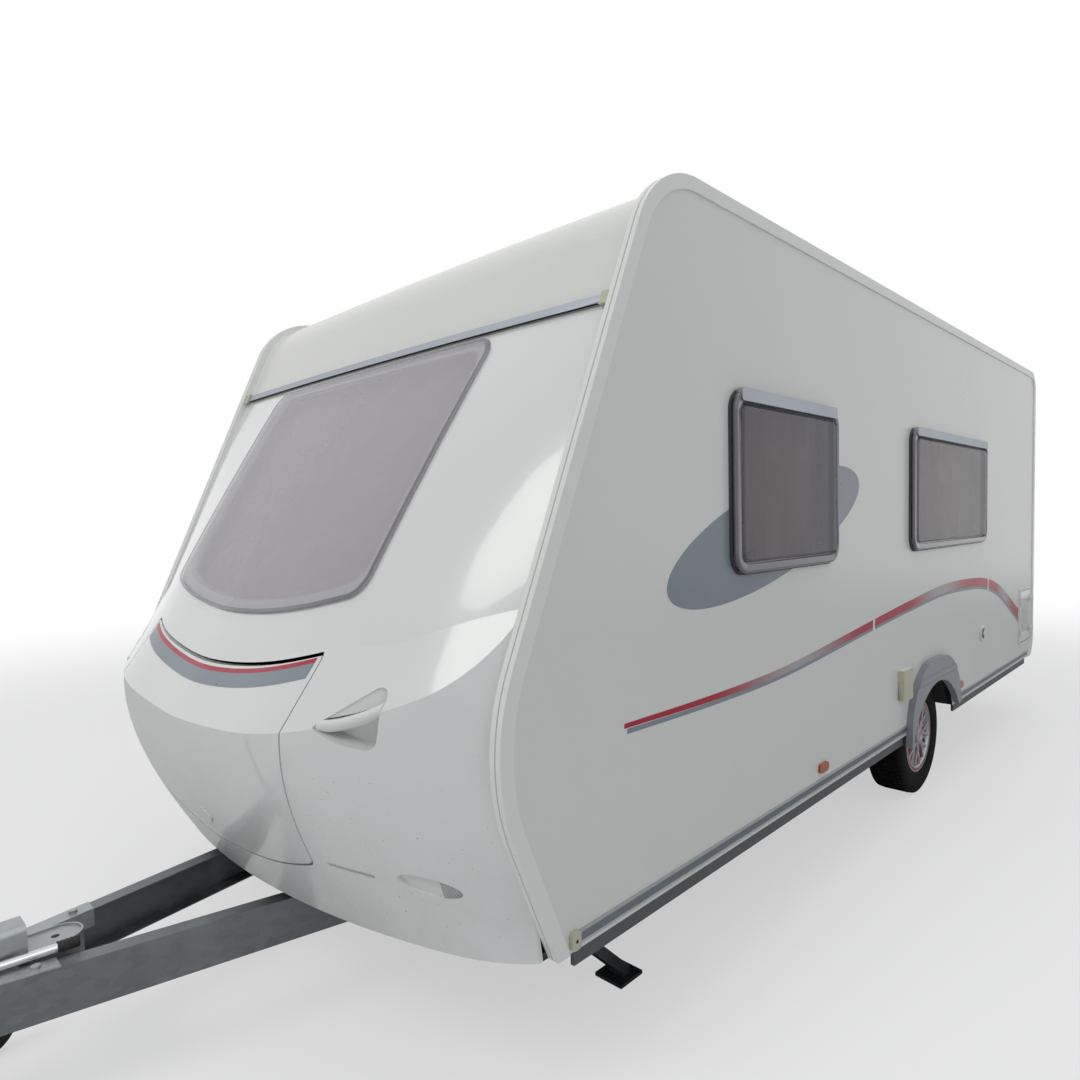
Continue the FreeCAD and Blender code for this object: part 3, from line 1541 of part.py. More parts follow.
def handbrake_lever():
    """Handbrake lever, lying back beside the housing, with a ribbed sleeve on its end."""
    pivot = V(housing_half, station(lever_station), lever_height)
    start = pivot + V(lever_radius, 0, 0)
    tip = V(start.x + lever_splay, station(lever_end_station), lever_height)
    run = (tip - start).normalize()
    wrist = tip - run * grip_sleeve
    shape = cylinder(lever_radius, start, wrist)
    shape = shape.fuse(cylinder(lever_boss_radius, pivot, pivot + V(lever_radius * 2, 0, 0)))
    pitch = grip_sleeve / grip_sleeve_ribs
    shape = shape.fuse(cylinder(lever_radius + fit_gap, wrist, tip))
    for index in range(grip_sleeve_ribs):
        foot = wrist + run * (pitch * index)
        shape = shape.fuse(Part.makeCone(grip_sleeve_radius, lever_radius + plate / 2, pitch, foot, run))
    return shape.removeSplitter()


def jockey_x():
    """X of the jockey post, right of the drawbar's channel."""
    width = drawbar_flange * math.hypot(1, drawbar_slope)
    return -((jockey_station - drawbar_apex_station) * drawbar_slope + width + jockey_clear)


def jockey_spot(height):
    """Point on the jockey post's axis."""
    return V(jockey_x(), station(jockey_station), height)


def jockey_clamp():
    """Bracket on the drawbar's right channel with the ring that clamps the jockey post."""
    low, high = jockey_tube_foot + run_gap, drawbar_top + jockey_clamp_rise
    axis = jockey_spot(low)
    ring = cylinder(jockey_tube_radius + plate * 2, axis, jockey_spot(high))
    half = jockey_tube_radius / 2
    reach = jockey_clear + drawbar_flange
    arm = box(axis.x, axis.x + reach, axis.y - half, axis.y + half, drawbar_top, drawbar_top + plate * 2)
    gusset = box(axis.x, axis.x + reach, axis.y - plate, axis.y + plate, low, drawbar_top)
    bore = cylinder(jockey_tube_radius + fit_gap, jockey_spot(low - overrun), jockey_spot(high + overrun))
    return ring.fuse(arm).fuse(gusset.cut(drawbar_right_block())).cut(bore).removeSplitter()


def drawbar_right_block():
    """Everything from the right channel's outer face inwards, below its top."""
    width = drawbar_flange * math.hypot(1, drawbar_slope)
    back = jockey_station * 2

    def outer(distance):
        return -((distance - drawbar_apex_station) * drawbar_slope + width)
    loop = [V(outer(0), station(0), 0), V(outer(back), station(back), 0), V(half_width, station(back), 0),
            V(half_width, station(0), 0)]
    face = Part.Face(Part.makePolygon(loop + loop[:1]))
    return face.extrude(V(0, 0, drawbar_top))


def jockey_post():
    """Outer tube of the jockey wheel, with its crank, clamped to the drawbar."""
    tube = cylinder(jockey_tube_radius, jockey_spot(jockey_tube_foot), jockey_spot(jockey_tube_top))
    bore = cylinder(jockey_post_radius + fit_gap, jockey_spot(jockey_tube_foot - overrun),
                    jockey_spot(jockey_tube_top - plate * 2))
    spindle_top = jockey_tube_top + jockey_post_radius * 2
    spindle = cylinder(jockey_post_radius / 2, jockey_spot(jockey_tube_top - plate), jockey_spot(spindle_top))
    out = V(0, -crank_length, 0)
    middle = jockey_spot(spindle_top - jockey_post_radius / 2)
    crank = cylinder(jockey_post_radius / 3, middle, middle + out)
    knob = cylinder(jockey_post_radius / 2, middle + out - V(0, 0, plate * 2),
                    middle + out + V(0, 0, crank_length / 2))
    return tube.cut(bore).fuse(spindle).fuse(crank).fuse(knob).removeSplitter()


def jockey_crown_height():
    """Underside of the fork's crown."""
    return jockey_wheel_radius * 2 + run_gap * 2


def jockey_leg():
    """Inner leg that the crank winds in and out of the post."""
    foot = jockey_crown_height() + plate * 2 + fit_gap
    leg = cylinder(jockey_post_radius, jockey_spot(foot), jockey_spot(jockey_tube_foot + jockey_leg_cover))
    bore = cylinder(kingpin_radius + fit_gap / 4, jockey_spot(foot - overrun),
                    jockey_spot(foot + kingpin_length + run_gap))
    return leg.cut(bore)


def jockey_axle():
    """Middle of the jockey wheel's axle."""
    return jockey_spot(jockey_wheel_radius) + V(0, jockey_trail, 0)


def jockey_fork():
    """Swivelling fork of the jockey wheel, with its kingpin and axle."""
    low = jockey_spot(jockey_crown_height())
    axle = jockey_axle()
    half = jockey_wheel_width / 2 + run_gap
    front, back = low.y - jockey_post_radius, axle.y + jockey_post_radius
    crown = box(low.x - half - plate, low.x + half + plate, front, back, low.z, low.z + plate * 2)
    shape = crown.fuse(cylinder(kingpin_radius, low, low + V(0, 0, plate * 2 + kingpin_length)))
    foot_z = axle.z - jockey_post_radius
    for side in (1, -1):
        x = low.x + side * half
        corners = [V(x, front, low.z), V(x, back, low.z), V(x, back, foot_z),
                   V(x, axle.y - jockey_post_radius, foot_z)]
        face = Part.Face(Part.makePolygon(corners + corners[:1]))
        shape = shape.fuse(face.extrude(V(side * plate, 0, 0)))
    reach = V(half + plate, 0, 0)
    return shape.fuse(cylinder(jockey_post_radius / 3, axle - reach, axle + reach)).removeSplitter()


def jockey_wheel():
    """Small solid-tyred wheel."""
    axle = jockey_axle()
    half = V(jockey_wheel_width / 2, 0, 0)
    tread = cylinder(jockey_wheel_radius, axle - half, axle + half)
    rims = [edge for edge in tread.Edges
            if edge.BoundBox.XLength < fit_gap and edge.Length > jockey_wheel_radius]
    tread = tread.makeFillet(jockey_wheel_width / 5, rims)
    hub_half = half + V(run_gap - fit_gap, 0, 0)
    hub_bar = cylinder(jockey_hub_radius, axle - hub_half, axle + hub_half)
    bore = cylinder(jockey_post_radius / 3 + fit_gap, axle - half * 2, axle + half * 2)
    return tread.fuse(hub_bar).cut(bore).removeSplitter()


def steady_angle():
    """Lean of a lowered steady below the horizontal, in radians."""
    ankle = steady_foot_thickness + steady_height / 2
    return math.asin((steady_pivot_height - ankle) / steady_length)


def stowed_steady(side):
    """Rear steady, wound up level with its pivot."""
    pivot = V(side * steady_half, station(steady_rear_station), steady_pivot_height)
    shape = steady(side, -1)
    shape.rotate(pivot, V(-1, 0, 0), steady_stow_angle)
    return shape


def steady(side, end):
    """Lowered corner steady; end is 1 at the nose, whose foot is behind its pivot."""
    place = steady_front_station if end > 0 else steady_rear_station
    pivot = V(side * steady_half, station(place), steady_pivot_height)
    angle = steady_angle()
    along = V(0, end * math.cos(angle), -math.sin(angle))
    up = V(0, end * math.sin(angle), math.cos(angle)) * (steady_height / 2)
    across = V(steady_width, 0, 0)
    start = pivot - across / 2
    finish = start + along * steady_length
    web = Part.Face(Part.makePolygon([start + up, finish + up, finish - up, start - up,
                                      start + up])).extrude(across)
    eye = cylinder(steady_height / 2, start, start + across)
    ankle_bar = cylinder(steady_height / 2, finish, finish + across)
    hollow_up = up * steady_hollow_share
    inner = V(plate, 0, 0)
    hollow_start = start + inner + along * steady_height
    hollow_end = start + inner + along * (steady_length - steady_height)
    hollow = Part.Face(Part.makePolygon([
        hollow_start + hollow_up, hollow_end + hollow_up, hollow_end - up * 2, hollow_start - up * 2,
        hollow_start + hollow_up,
    ])).extrude(across - inner * 2)
    ankle = finish + across / 2
    half = steady_foot_size / 2
    foot = box(ankle.x - half, ankle.x + half, ankle.y - half, ankle.y + half, 0, steady_foot_thickness)
    post = box(start.x, start.x + steady_width, ankle.y - steady_height / 2, ankle.y + steady_height / 2,
               steady_foot_thickness, ankle.z)
    bore = cylinder(pin_radius + fit_gap / 4, start - across, start + across * 2)
    return web.fuse(eye).fuse(ankle_bar).cut(hollow).fuse(foot).fuse(post).cut(bore).removeSplitter()


def steady_brackets():
    """Cheeks and pins that carry the four steadies, hung from the floor."""
    shapes = []
    for side in (1, -1):
        for end, place in ((1, steady_front_station), (-1, steady_rear_station)):
            x, y = side * steady_half, station(place)
            half = steady_width / 2 + fit_gap
            size = steady_height
            low = steady_pivot_height - size / 2
            shape = box(x - half - plate, x + half + plate, y - size, y + size, sill_height - plate,
                        sill_height)
            for outer in (half, -half - plate):
                shape = shape.fuse(box(x + outer, x + outer + plate, y - size / 2, y + size / 2, low,
                                       sill_height))
            pin = cylinder(pin_radius, V(x - half - plate, y, steady_pivot_height),
                           V(x + half + plate, y, steady_pivot_height))
            shapes.append(shape.fuse(pin).removeSplitter())
    return Part.makeCompound(shapes)


def rear_lamps():
    """Tail lamp clusters and the red markers at the tail's top corners."""
    shapes = []
    half = tail_lamp_width / 2
    lamp = box(tail_lamp_half - half, tail_lamp_half + half, tail_y, tail_y + tail_lamp_stand,
               tail_lamp_foot, tail_lamp_foot + tail_lamp_height)
    face = [edge for edge in lamp.Edges if edge.BoundBox.YMin > tail_y + tail_lamp_stand / 2]
    lamp = lamp.makeFillet(tail_lamp_stand / 2, face)
    marker_x = inner_half - marker_width
    marker = box(marker_x, marker_x + marker_width, tail_y, tail_y + marker_stand, marker_height,
                 marker_height + marker_tall)
    marker = marker.makeFillet(marker_stand / 3, [edge for edge in marker.Edges
                                                  if edge.BoundBox.YMin > tail_y + marker_stand / 2])
    for shape in (lamp, marker):
        shapes += [shape, mirrored(shape)]
    return Part.makeCompound(shapes)


def side_reflectors():
    """Amber side markers on both walls."""
    shapes = []
    for place in reflector_stations:
        y = station(place)
        body = panel(y - reflector_length / 2, y + reflector_length / 2,
                     reflector_height - reflector_width / 2,
                     reflector_height + reflector_width / 2, reflector_width / reflector_round_share,
                     half_width, half_width + reflector_stand)
        shapes += [body, mirrored(body)]
    return Part.makeCompound(shapes)


def side_fittings():
    """Water filler cap and mains inlet box on the left wall."""
    centre = V(half_width, station(filler_station), filler_height)
    cap = cylinder(filler_radius, centre, centre + V(filler_stand / 2, 0, 0))
    knob = cylinder(filler_radius * filler_knob_share, centre, centre + V(filler_stand, 0, 0))
    y0 = station(inlet_station)
    inlet = panel(y0, y0 + inlet_width, inlet_foot, inlet_foot + inlet_height, inlet_stand / 4, half_width,
                  half_width + inlet_stand)
    return Part.makeCompound([cap.fuse(knob).removeSplitter(), inlet])


def fridge_vents():
    """Two louvred vents on the right wall."""
    rim = vent_stand * vent_rim_share
    pitch = (vent_height - rim * 2) / vent_bars
    face_x = half_width + vent_stand
    y0, y1 = station(vent_station) + rim - plate, station(vent_station) + vent_width - rim + plate
    shapes = []
    for foot in (vent_low_foot, vent_high_foot):
        place = (vent_station, vent_width, foot, vent_height)
        shape = side_panel(place, 0, vent_stand * 2, half_width, face_x)
        shape = shape.cut(side_panel(place, rim, vent_stand * 2, half_width - overrun, face_x + overrun))
        for index in range(vent_bars):
            low = foot + rim + pitch * index
            back_low, front_low, front_high, back_high = (low + pitch * share for share in louvre_shares)
            corners = [V(half_width, y0, back_low), V(face_x - vent_stand / 4, y0, front_low),
                       V(face_x, y0, front_high), V(half_width, y0, back_high)]
            shape = shape.fuse(Part.Face(Part.makePolygon(corners + corners[:1])).extrude(V(0, y1 - y0, 0)))
        shapes.append(mirrored(shape.removeSplitter()))
    return Part.makeCompound(shapes)


def rooflights():
    """Domed rooflights on their frames."""
    shapes = []
    half = hatchlight_size / 2
    for place in hatchlight_stations:
        y = station(place)
        frame = box(-half, half, y - half, y + half, roof_height, roof_height + hatchlight_frame)
        frame = frame.cut(box(-half + hatchlight_frame, half - hatchlight_frame, y - half + hatchlight_frame,
                              y + half - hatchlight_frame, roof_height - overrun,
                              roof_height + hatchlight_frame - plate))
        dome = box(-half + plate, half - plate, y - half + plate, y + half - plate,
                   roof_height + hatchlight_frame, roof_height + hatchlight_rise)
        rim = [edge for edge in dome.Edges if edge.BoundBox.ZMin > roof_height + hatchlight_rise - plate]
        shapes.append(frame.fuse(dome.makeFillet(hatchlight_round, rim)).removeSplitter())
    return Part.makeCompound(shapes)


pieces = {
    "drawbar_left": lambda: drawbar(1),
    "drawbar_right": lambda: drawbar(-1),
    "chassis_rails": chassis_rails,
    "cross_members": cross_members,
    "axle_beam": axle_beam,
    "trailing_arms": trailing_arms,
    "floor": floor,
    "locker_tub": locker_tub,
    "left_wall": left_wall,
    "right_wall": right_wall,
    "front_cap": front_cap,
    "front_moulding": front_moulding,
    "roof": roof,
    "rear_panel": rear_panel,
    "awning_rails": awning_rails,
    "front_rail": front_rail,
    "rail_caps": rail_caps,
    "sill_trims": sill_trims,
    "skirts": skirts,
    "front_window": front_window,
    "window_frames": window_frames,
    "window_panes": window_panes,
    "window_rails": window_rails,
    "curtains": curtains,
    "curtain_rails": curtain_rails,
    "fenders": fenders,
    "wheel_boxes": wheel_boxes,
    "grab_handles": grab_handles,
    "front_lamps": front_lamps,
    "rear_lamps": rear_lamps,
    "side_reflectors": side_reflectors,
    "side_fittings": side_fittings,
    "fridge_vents": fridge_vents,
    "rooflights": rooflights,
    "service_bay": service_bay,
    "overrun_housing": overrun_housing,
    "coupling_head": coupling_head,
    "bellows": bellows,
    "handbrake_lever": handbrake_lever,
    "jockey_clamp": jockey_clamp,
    "steady_brackets": steady_brackets,
    "jockey_post": jockey_post,
    "jockey_leg": jockey_leg,
    "jockey_fork": jockey_fork,
    "jockey_wheel": jockey_wheel,
    "steady_front_left": lambda: steady(1, 1),
    "steady_front_right": lambda: steady(-1, 1),
    "steady_rear_left": lambda: stowed_steady(1),
    "steady_rear_right": lambda: stowed_steady(-1),
    "wheel_left": lambda: wheel(1),
    "wheel_right": lambda: wheel(-1),
    "tyre_left": lambda: tyre(1),
    "tyre_right": lambda: tyre(-1),
    "door_panel": door_panel,
    "door_window": door_window,
    "door_fittings": door_fittings,
    "locker_lid": locker_lid,
    "service_hatch": service_hatch,
}


def main():
    """Write one file for each sub-part."""
    os.makedirs("parts", exist_ok=True)
    for name, make in pieces.items():
        shape = make()
        shape.exportStep(os.path.join("parts", name + ".step"))
        solids = shape.Solids
        if not shape.isValid() or not solids or min(solid.Volume for solid in solids) <= 0:
            raise ValueError(name + " isn't a closed solid")
        print(name, len(solids), round(sum(solid.Volume for solid in solids) / 1e6, 2))


main()
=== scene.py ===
"""Finishes, stripes, curtains, tyres and small trim of a touring caravan, and the studio round it."""
import math

import bmesh
import bpy
from bpy.props import FloatProperty, FloatVectorProperty, IntProperty, PointerProperty
from bpy.types import Operator, Panel, PropertyGroup
from mathutils import Matrix, Vector, noise
from mathutils.bvhtree import BVHTree


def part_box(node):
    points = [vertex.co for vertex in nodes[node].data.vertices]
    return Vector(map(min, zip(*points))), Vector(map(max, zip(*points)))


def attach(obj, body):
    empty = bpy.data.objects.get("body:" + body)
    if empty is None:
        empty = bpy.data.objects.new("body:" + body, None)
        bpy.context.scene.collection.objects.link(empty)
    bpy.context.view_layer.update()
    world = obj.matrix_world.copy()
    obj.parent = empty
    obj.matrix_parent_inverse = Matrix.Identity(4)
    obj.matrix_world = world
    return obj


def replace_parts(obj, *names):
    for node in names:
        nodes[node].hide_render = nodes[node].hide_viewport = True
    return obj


bl_info = {
    "name": "Touring Caravan",
    "version": (1, 0, 0),
    "blender": (4, 5, 0),
    "location": "View3D > Sidebar > Caravan",
    "description": "Dresses a touring caravan's frame with its finishes, stripes, curtains and trim",
    "category": "Object",
}

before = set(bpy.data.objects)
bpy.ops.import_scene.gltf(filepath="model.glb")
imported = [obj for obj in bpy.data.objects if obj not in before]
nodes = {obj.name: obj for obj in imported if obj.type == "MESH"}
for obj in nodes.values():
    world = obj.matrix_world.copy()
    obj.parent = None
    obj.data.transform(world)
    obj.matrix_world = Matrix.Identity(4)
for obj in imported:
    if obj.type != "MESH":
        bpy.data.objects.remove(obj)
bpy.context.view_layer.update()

WALL_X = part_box("side_fittings")[0].x
ORIGIN_STATION = 3.025
MERGE = 1e-5


# Sizes and colours

def colour(name, description, default):
    """A paint colour that a user would change."""
    return FloatVectorProperty(name=name, description=description, default=default, subtype="COLOR", size=3,
                               min=0.0, max=1.0)


def length(name, description, default):
    """A length that a user would change."""
    return FloatProperty(name=name, description=description, default=default, unit="LENGTH", min=0.0)


def strength(name, description, default, high=10000.0):
    """A light's power, or a share of white."""
    return FloatProperty(name=name, description=description, default=default, min=0.0, max=high)


class PaintColours(PropertyGroup):
    """Colours of the body, its stripes and its trim."""

    body: colour("Body", "Paint of the walls, roof and tail", (0.78, 0.79, 0.76))
    moulding: colour("Moulding", "Gel coat of the nose and the locker's lid", (0.78, 0.80, 0.79))
    red: colour("Red stripe", "Red of the stripes and of the wheel trims' edges", (0.42, 0.012, 0.035))
    grey: colour("Grey stripe", "Blue grey of the stripes and of the ellipse", (0.235, 0.275, 0.320))
    fender: colour("Fender", "Moulded wheel surrounds", (0.25, 0.265, 0.295))
    cream: colour("End caps", "Sun-yellowed plastic", (0.55, 0.54, 0.42))
    trim: colour("Trim", "Anodised rails and the wheel trims", (0.52, 0.54, 0.56))
    glass: colour("Windows", "Smoke tint of the acrylic", (0.10, 0.09, 0.11))
    front_glass: colour("Front window", "Tint of the front window's acrylic", (0.60, 0.58, 0.64))
    pane_edge: colour("Pane edges", "Rims of the opening windows", (0.12, 0.115, 0.14))
    curtain: colour("Curtains", "Cloth of the curtains", (0.62, 0.45, 0.42))


class StripeSizes(PropertyGroup):
    """Sizes of the stripes and decals."""

    proud: length("Proud", "How far a decal stands off the surface", 0.0006)
    gap: length("Gap", "White break between two runs of the side stripe", 0.022)
    lid_red: length("Lid red", "Height of the red line on the lid", 0.012)
    lid_grey: length("Lid grey", "Height of the grey band on the lid", 0.037)


class TyreSizes(PropertyGroup):
    """Sizes of the tyres and the wheel trims."""

    pitches: IntProperty(name="Tread pitches", description="Blocks round a tyre", default=66, min=20, max=120)
    groove: length("Groove", "Depth of the tread", 0.0065)
    spokes: IntProperty(name="Spokes", description="Forked spokes of a wheel trim", default=8, min=4, max=14)


class CurtainSizes(PropertyGroup):
    """Sizes of the curtains' folds."""

    fold: length("Fold", "Width of one fold", 0.070)
    depth: length("Depth", "Depth of one fold", 0.012)


class StageSizes(PropertyGroup):
    """Light on the caravan."""

    key: strength("Key light", "Power of the large light ahead", 330.0)
    fill: strength("Fill light", "Power of the light beside the camera", 85.0)
    top: strength("Top light", "Power of the light over the roof", 150.0)
    sky: strength("Sky", "Strength of the light from all round", 0.34)
    floor_white: strength("Floor white", "Share of plain white in the floor near the caravan", 0.55, 1.0)


class CaravanSettings(PropertyGroup):
    """Every size and colour of the caravan."""

    paint: PointerProperty(type=PaintColours)
    stripes: PointerProperty(type=StripeSizes)
    tyres: PointerProperty(type=TyreSizes)
    curtains: PointerProperty(type=CurtainSizes)
    stage: PointerProperty(type=StageSizes)


# Finishes

class Amount:
    """A number that changes over a surface, with arithmetic on it."""

    def __init__(self, owner, socket):
        self.owner = owner
        self.socket = socket

    def maths(self, operation, *values):
        return self.owner.node("ShaderNodeMath", {"operation": operation}, values)

    def __add__(self, other):
        return self.maths("ADD", self, other)

    def __sub__(self, other):
        return self.maths("SUBTRACT", self, other)

    def __rsub__(self, other):
        return self.maths("SUBTRACT", other, self)

    def __mul__(self, other):
        return self.maths("MULTIPLY", self, other)

    def __abs__(self):
        return self.maths("ABSOLUTE", self)

    __radd__ = __add__
    __rmul__ = __mul__


class Nodes:
    """A node tree while it is being filled."""

    def __init__(self, tree):
        self.tree = tree

    def node(self, kind, settings=None, values=(), output=0):
        """Add a node, set it up, feed its sockets and give one of its outputs."""
        made = self.tree.nodes.new(kind)
        for key, value in (settings or {}).items():
            setattr(made, key, value)
        pairs = values.items() if isinstance(values, dict) else enumerate(values)
        for key, value in pairs:
            self.feed(made.inputs[key], value)
        return Amount(self, made.outputs[output])

    def feed(self, socket, value):
        """Link or set one input."""
        if isinstance(value, Amount):
            self.tree.links.new(value.socket, socket)
        else:
            socket.default_value = value


class Finish(Nodes):
    """A material while it is being made."""

    def __init__(self, name, rough, **sockets):
        self.material = bpy.data.materials.new(name)
        self.material.use_nodes = True
        super().__init__(self.material.node_tree)
        self.shader = next(item for item in self.tree.nodes if item.type == "BSDF_PRINCIPLED")
        self.set("Roughness", rough)
        for socket, value in sockets.items():
            self.set(socket.replace("_", " "), value)

    def set(self, socket, value):
        """Link or set an input of the shader."""
        if socket == "Base Color" and not isinstance(value, Amount):
            value = (*value, 1.0)
        self.feed(self.shader.inputs[socket], value)

    def where(self):
        return self.node("ShaderNodeTexCoord", output="Object")

    def axis(self, name):
        return self.node("ShaderNodeSeparateXYZ", None, (self.where(),), name)

    def noise(self, scale, detail=3.0, stretch=(1.0, 1.0, 1.0)):
        place = self.node("ShaderNodeMapping", None, {"Vector": self.where(), "Scale": stretch})
        return self.node("ShaderNodeTexNoise", None, {"Vector": place, "Scale": scale, "Detail": detail})

    def cells(self, scale, stretch=(1.0, 1.0, 1.0)):
        """One grey value for each grain of a crystalline surface."""
        place = self.node("ShaderNodeMapping", None, {"Vector": self.where(), "Scale": stretch})
        tint = self.node("ShaderNodeTexVoronoi", None, {"Vector": place, "Scale": scale}, "Color")
        return self.node("ShaderNodeSeparateColor", None, (tint,), "Red")

    def step(self, amount, low, high, start=0.0, end=1.0):
        """Smooth change from start to end as amount goes from low to high."""
        values = {"Value": amount, "From Min": low, "From Max": high, "To Min": start, "To Max": end}
        return self.node("ShaderNodeMapRange", {"interpolation_type": "SMOOTHSTEP"}, values)

    def mix(self, amount, first, second):
        """Blend two colours."""
        pair = [tint if isinstance(tint, Amount) else (*tint, 1.0) for tint in (first, second)]
        return self.node("ShaderNodeMix", {"data_type": "RGBA"}, {0: amount, 6: pair[0], 7: pair[1]}, 2)

    def done(self, colour, rough=None, relief=None):
        """Set colour, roughness and relief (height, distance, strength), and give the material."""
        self.set("Base Color", colour)
        if rough is not None:
            self.set("Roughness", rough)
        if relief is not None:
            values = dict(zip(("Height", "Distance", "Strength"), relief))
            self.set("Normal", self.node("ShaderNodeBump", None, values, "Normal"))
        return self.material


def shade(tint, share):
    """A colour made darker or lighter."""
    return tuple(min(1.0, channel * share) for channel in tint)


def painted(name, tint, rough=0.26, grime=0.12, shaded_arch=None):
    """Coated sheet: faint orange peel, road dirt near the sill, thin rain streaks; painted shade inside the
    wheel arch.
    """
    finish = Finish(name, rough, Coat_Weight=0.1, Coat_Roughness=0.08, Specular_IOR_Level=0.3)
    height = finish.axis("Z")
    cloud = finish.noise(1.6, 4.0)
    streak = finish.noise(9.0, 3.0, (1.0, 1.0, 0.05))
    low = finish.step(height, 0.40, 0.80, 1.0, 0.0)
    dirt = low * finish.step(finish.noise(5.0, 5.0), 0.20, 0.90) * 0.55
    dirt = (dirt + finish.step(streak, 0.50, 0.85) * 0.10) * grime
    base = finish.mix(cloud * 0.4, tint, shade(tint, 0.965))
    base = finish.mix(dirt, base, (0.36, 0.34, 0.29))
    # Painted shade: the wall's faces inside the wheel arch go near black, as shade falls there under the
    # caravan.
    if shaded_arch:
        middle, half, top, edge = (shaded_arch[0].y + shaded_arch[1].y) / 2, (shaded_arch[1].y - shaded_arch[0].y) / 2, shaded_arch[1].z, 0.001
        inside = finish.step(abs(finish.axis("X")), WALL_X - 2 * edge, WALL_X - edge, 1.0, 0.0)
        inside = inside * finish.step(height, top, top + edge, 1.0, 0.0)
        inside = inside * finish.step(abs(finish.axis("Y") - middle), half, half + edge, 1.0, 0.0)
        base = finish.mix(inside, base, (0.016, 0.016, 0.018))
    peel = finish.noise(90.0, 2.0) + finish.noise(2.0, 1.0) * 3.0
    return finish.done(base, dirt * 0.05 + cloud * 0.06 + (rough - 0.03), (peel, 0.0006, 0.22))


def gel_coat(name, tint):
    """Moulded gel coat: glossy, slightly wavy, with stone chips and road dirt low down."""
    finish = Finish(name, 0.2, Coat_Weight=0.5, Coat_Roughness=0.05)
    height = finish.axis("Z")
    cloud = finish.noise(2.2, 4.0)
    chip = finish.step(finish.noise(150.0, 1.0), 0.755, 0.775) * finish.step(height, 0.55, 1.15, 1.0, 0.0)
    film = finish.step(height, 0.42, 0.9, 0.16, 0.0) * finish.step(finish.noise(7.0, 5.0), 0.35, 0.7)
    base = finish.mix(cloud * 0.45, tint, shade(tint, 0.94))
    base = finish.mix(film, base, (0.40, 0.39, 0.35))
    return finish.done(finish.mix(chip * 0.7, base, (0.13, 0.12, 0.11)), film * 0.5 + cloud * 0.08 + 0.14,
                       (finish.noise(2.6, 1.0), 0.002, 0.2))


def zinc(name, tint=(0.17, 0.185, 0.195)):
    """Hot-dip galvanised steel with dull spangles and white stains."""
    finish = Finish(name, 0.5, Metallic=0.75)
    grain = finish.cells(55.0, (1.0, 0.6, 1.0))
    stain = finish.step(finish.noise(6.0, 6.0), 0.50, 0.72)
    rust = finish.step(finish.noise(11.0, 6.0), 0.70, 0.80)
    base = finish.mix(grain * 0.55, tint, shade(tint, 1.35))
    base = finish.mix(stain * 0.3, base, shade(tint, 1.8))
    finish.set("Metallic", 0.8 - stain * 0.5)
    return finish.done(finish.mix(rust * 0.5, base, (0.17, 0.10, 0.06)), grain * 0.14 + stain * 0.2 + 0.38,
                       (finish.noise(120.0, 3.0), 0.0005, 0.5))


def anodised(name, tint, rough=0.32, along=(1.0, 0.04, 1.0)):
    """Drawn aluminium with fine lines along the bar."""
    finish = Finish(name, rough, Metallic=0.9)
    line = finish.noise(320.0, 2.0, along)
    cloud = finish.noise(4.0, 4.0)
    return finish.done(finish.mix(cloud * 0.6, tint, shade(tint, 0.82)),
                       line * 0.16 + cloud * 0.12 + rough - 0.1, (line, 0.0003, 0.4))


def moulded(name, tint, rough=0.45, grain=260.0, fade=0.12, coat=0.0):
    """Moulded plastic with a fine grain and uneven fading."""
    finish = Finish(name, rough, Coat_Weight=coat)
    cloud = finish.noise(6.0, 4.0)
    fleck = finish.noise(grain, 2.0)
    return finish.done(finish.mix(cloud, shade(tint, 1.0 - fade), shade(tint, 1.0 + fade)),
                       fleck * 0.14 + cloud * 0.1 + rough - 0.12, (fleck, 0.0004, 0.35))


def acrylic(name, tint, alpha):
    """Smoked acrylic, a little wavy, with dust along its foot."""
    finish = Finish(name, 0.04, Coat_Weight=0.4, IOR=1.49)
    dust = finish.step(finish.noise(8.0, 5.0), 0.45, 0.8)
    finish.set("Alpha", dust * 0.06 + alpha)
    return finish.done(finish.mix(dust * 0.16, tint, (0.40, 0.38, 0.38)), dust * 0.12 + 0.03,
                       (finish.noise(3.5, 1.0), 0.003, 0.25))


def lens(name, tint, alpha=1.0):
    """Ribbed lamp lens."""
    finish = Finish(name, 0.12, Coat_Weight=0.15, Alpha=alpha)
    rib = finish.node("ShaderNodeTexWave", {"bands_direction": "DIAGONAL"},
                      {"Vector": finish.where(), "Scale": 60.0, "Distortion": 0.0}, "Fac")
    return finish.done(finish.mix(rib, shade(tint, 0.75), shade(tint, 1.25)), relief=(rib, 0.0008, 0.6))


def rubber(name, tint, rough=0.6, dusty=0.6, mirror=0.3):
    """Road-dusted rubber."""
    finish = Finish(name, rough, Specular_IOR_Level=mirror)
    dust = finish.step(finish.noise(14.0, 6.0), 0.42, 0.75)
    return finish.done(finish.mix(dust * dusty, tint, (0.085, 0.08, 0.072)), dust * 0.2 + rough - 0.05,
                       (finish.noise(420.0, 2.0), 0.0004, 0.5))


def cloth(name, tint):
    """Woven curtain cloth with a fine open weave."""
    finish = Finish(name, 0.85, Sheen_Weight=0.3)
    threads = {"Vector": finish.where(), "Scale": 190.0}
    warp, weft = (finish.node("ShaderNodeTexWave", {"bands_direction": way}, threads, "Fac") for way in "XZ")
    weave = warp * weft
    blend = weave * 0.5 + finish.noise(5.0, 3.0) * 0.4
    return finish.done(finish.mix(blend, shade(tint, 0.78), shade(tint, 1.15)), relief=(weave, 0.0006, 0.5))


def fading_stripe(name, red, pale, spans):
    """Red decal that fades to silver in the middle of each run."""
    finish = Finish(name, 0.3, Coat_Weight=0.1, Specular_IOR_Level=0.3)
    along = finish.axis("Y")
    fade = 0.0
    for middle, reach in spans:
        fade = finish.step(abs(along - middle), 0.0, reach, 1.0, 0.0) + fade
    return finish.done(finish.mix(fade * 0.92, red, pale))


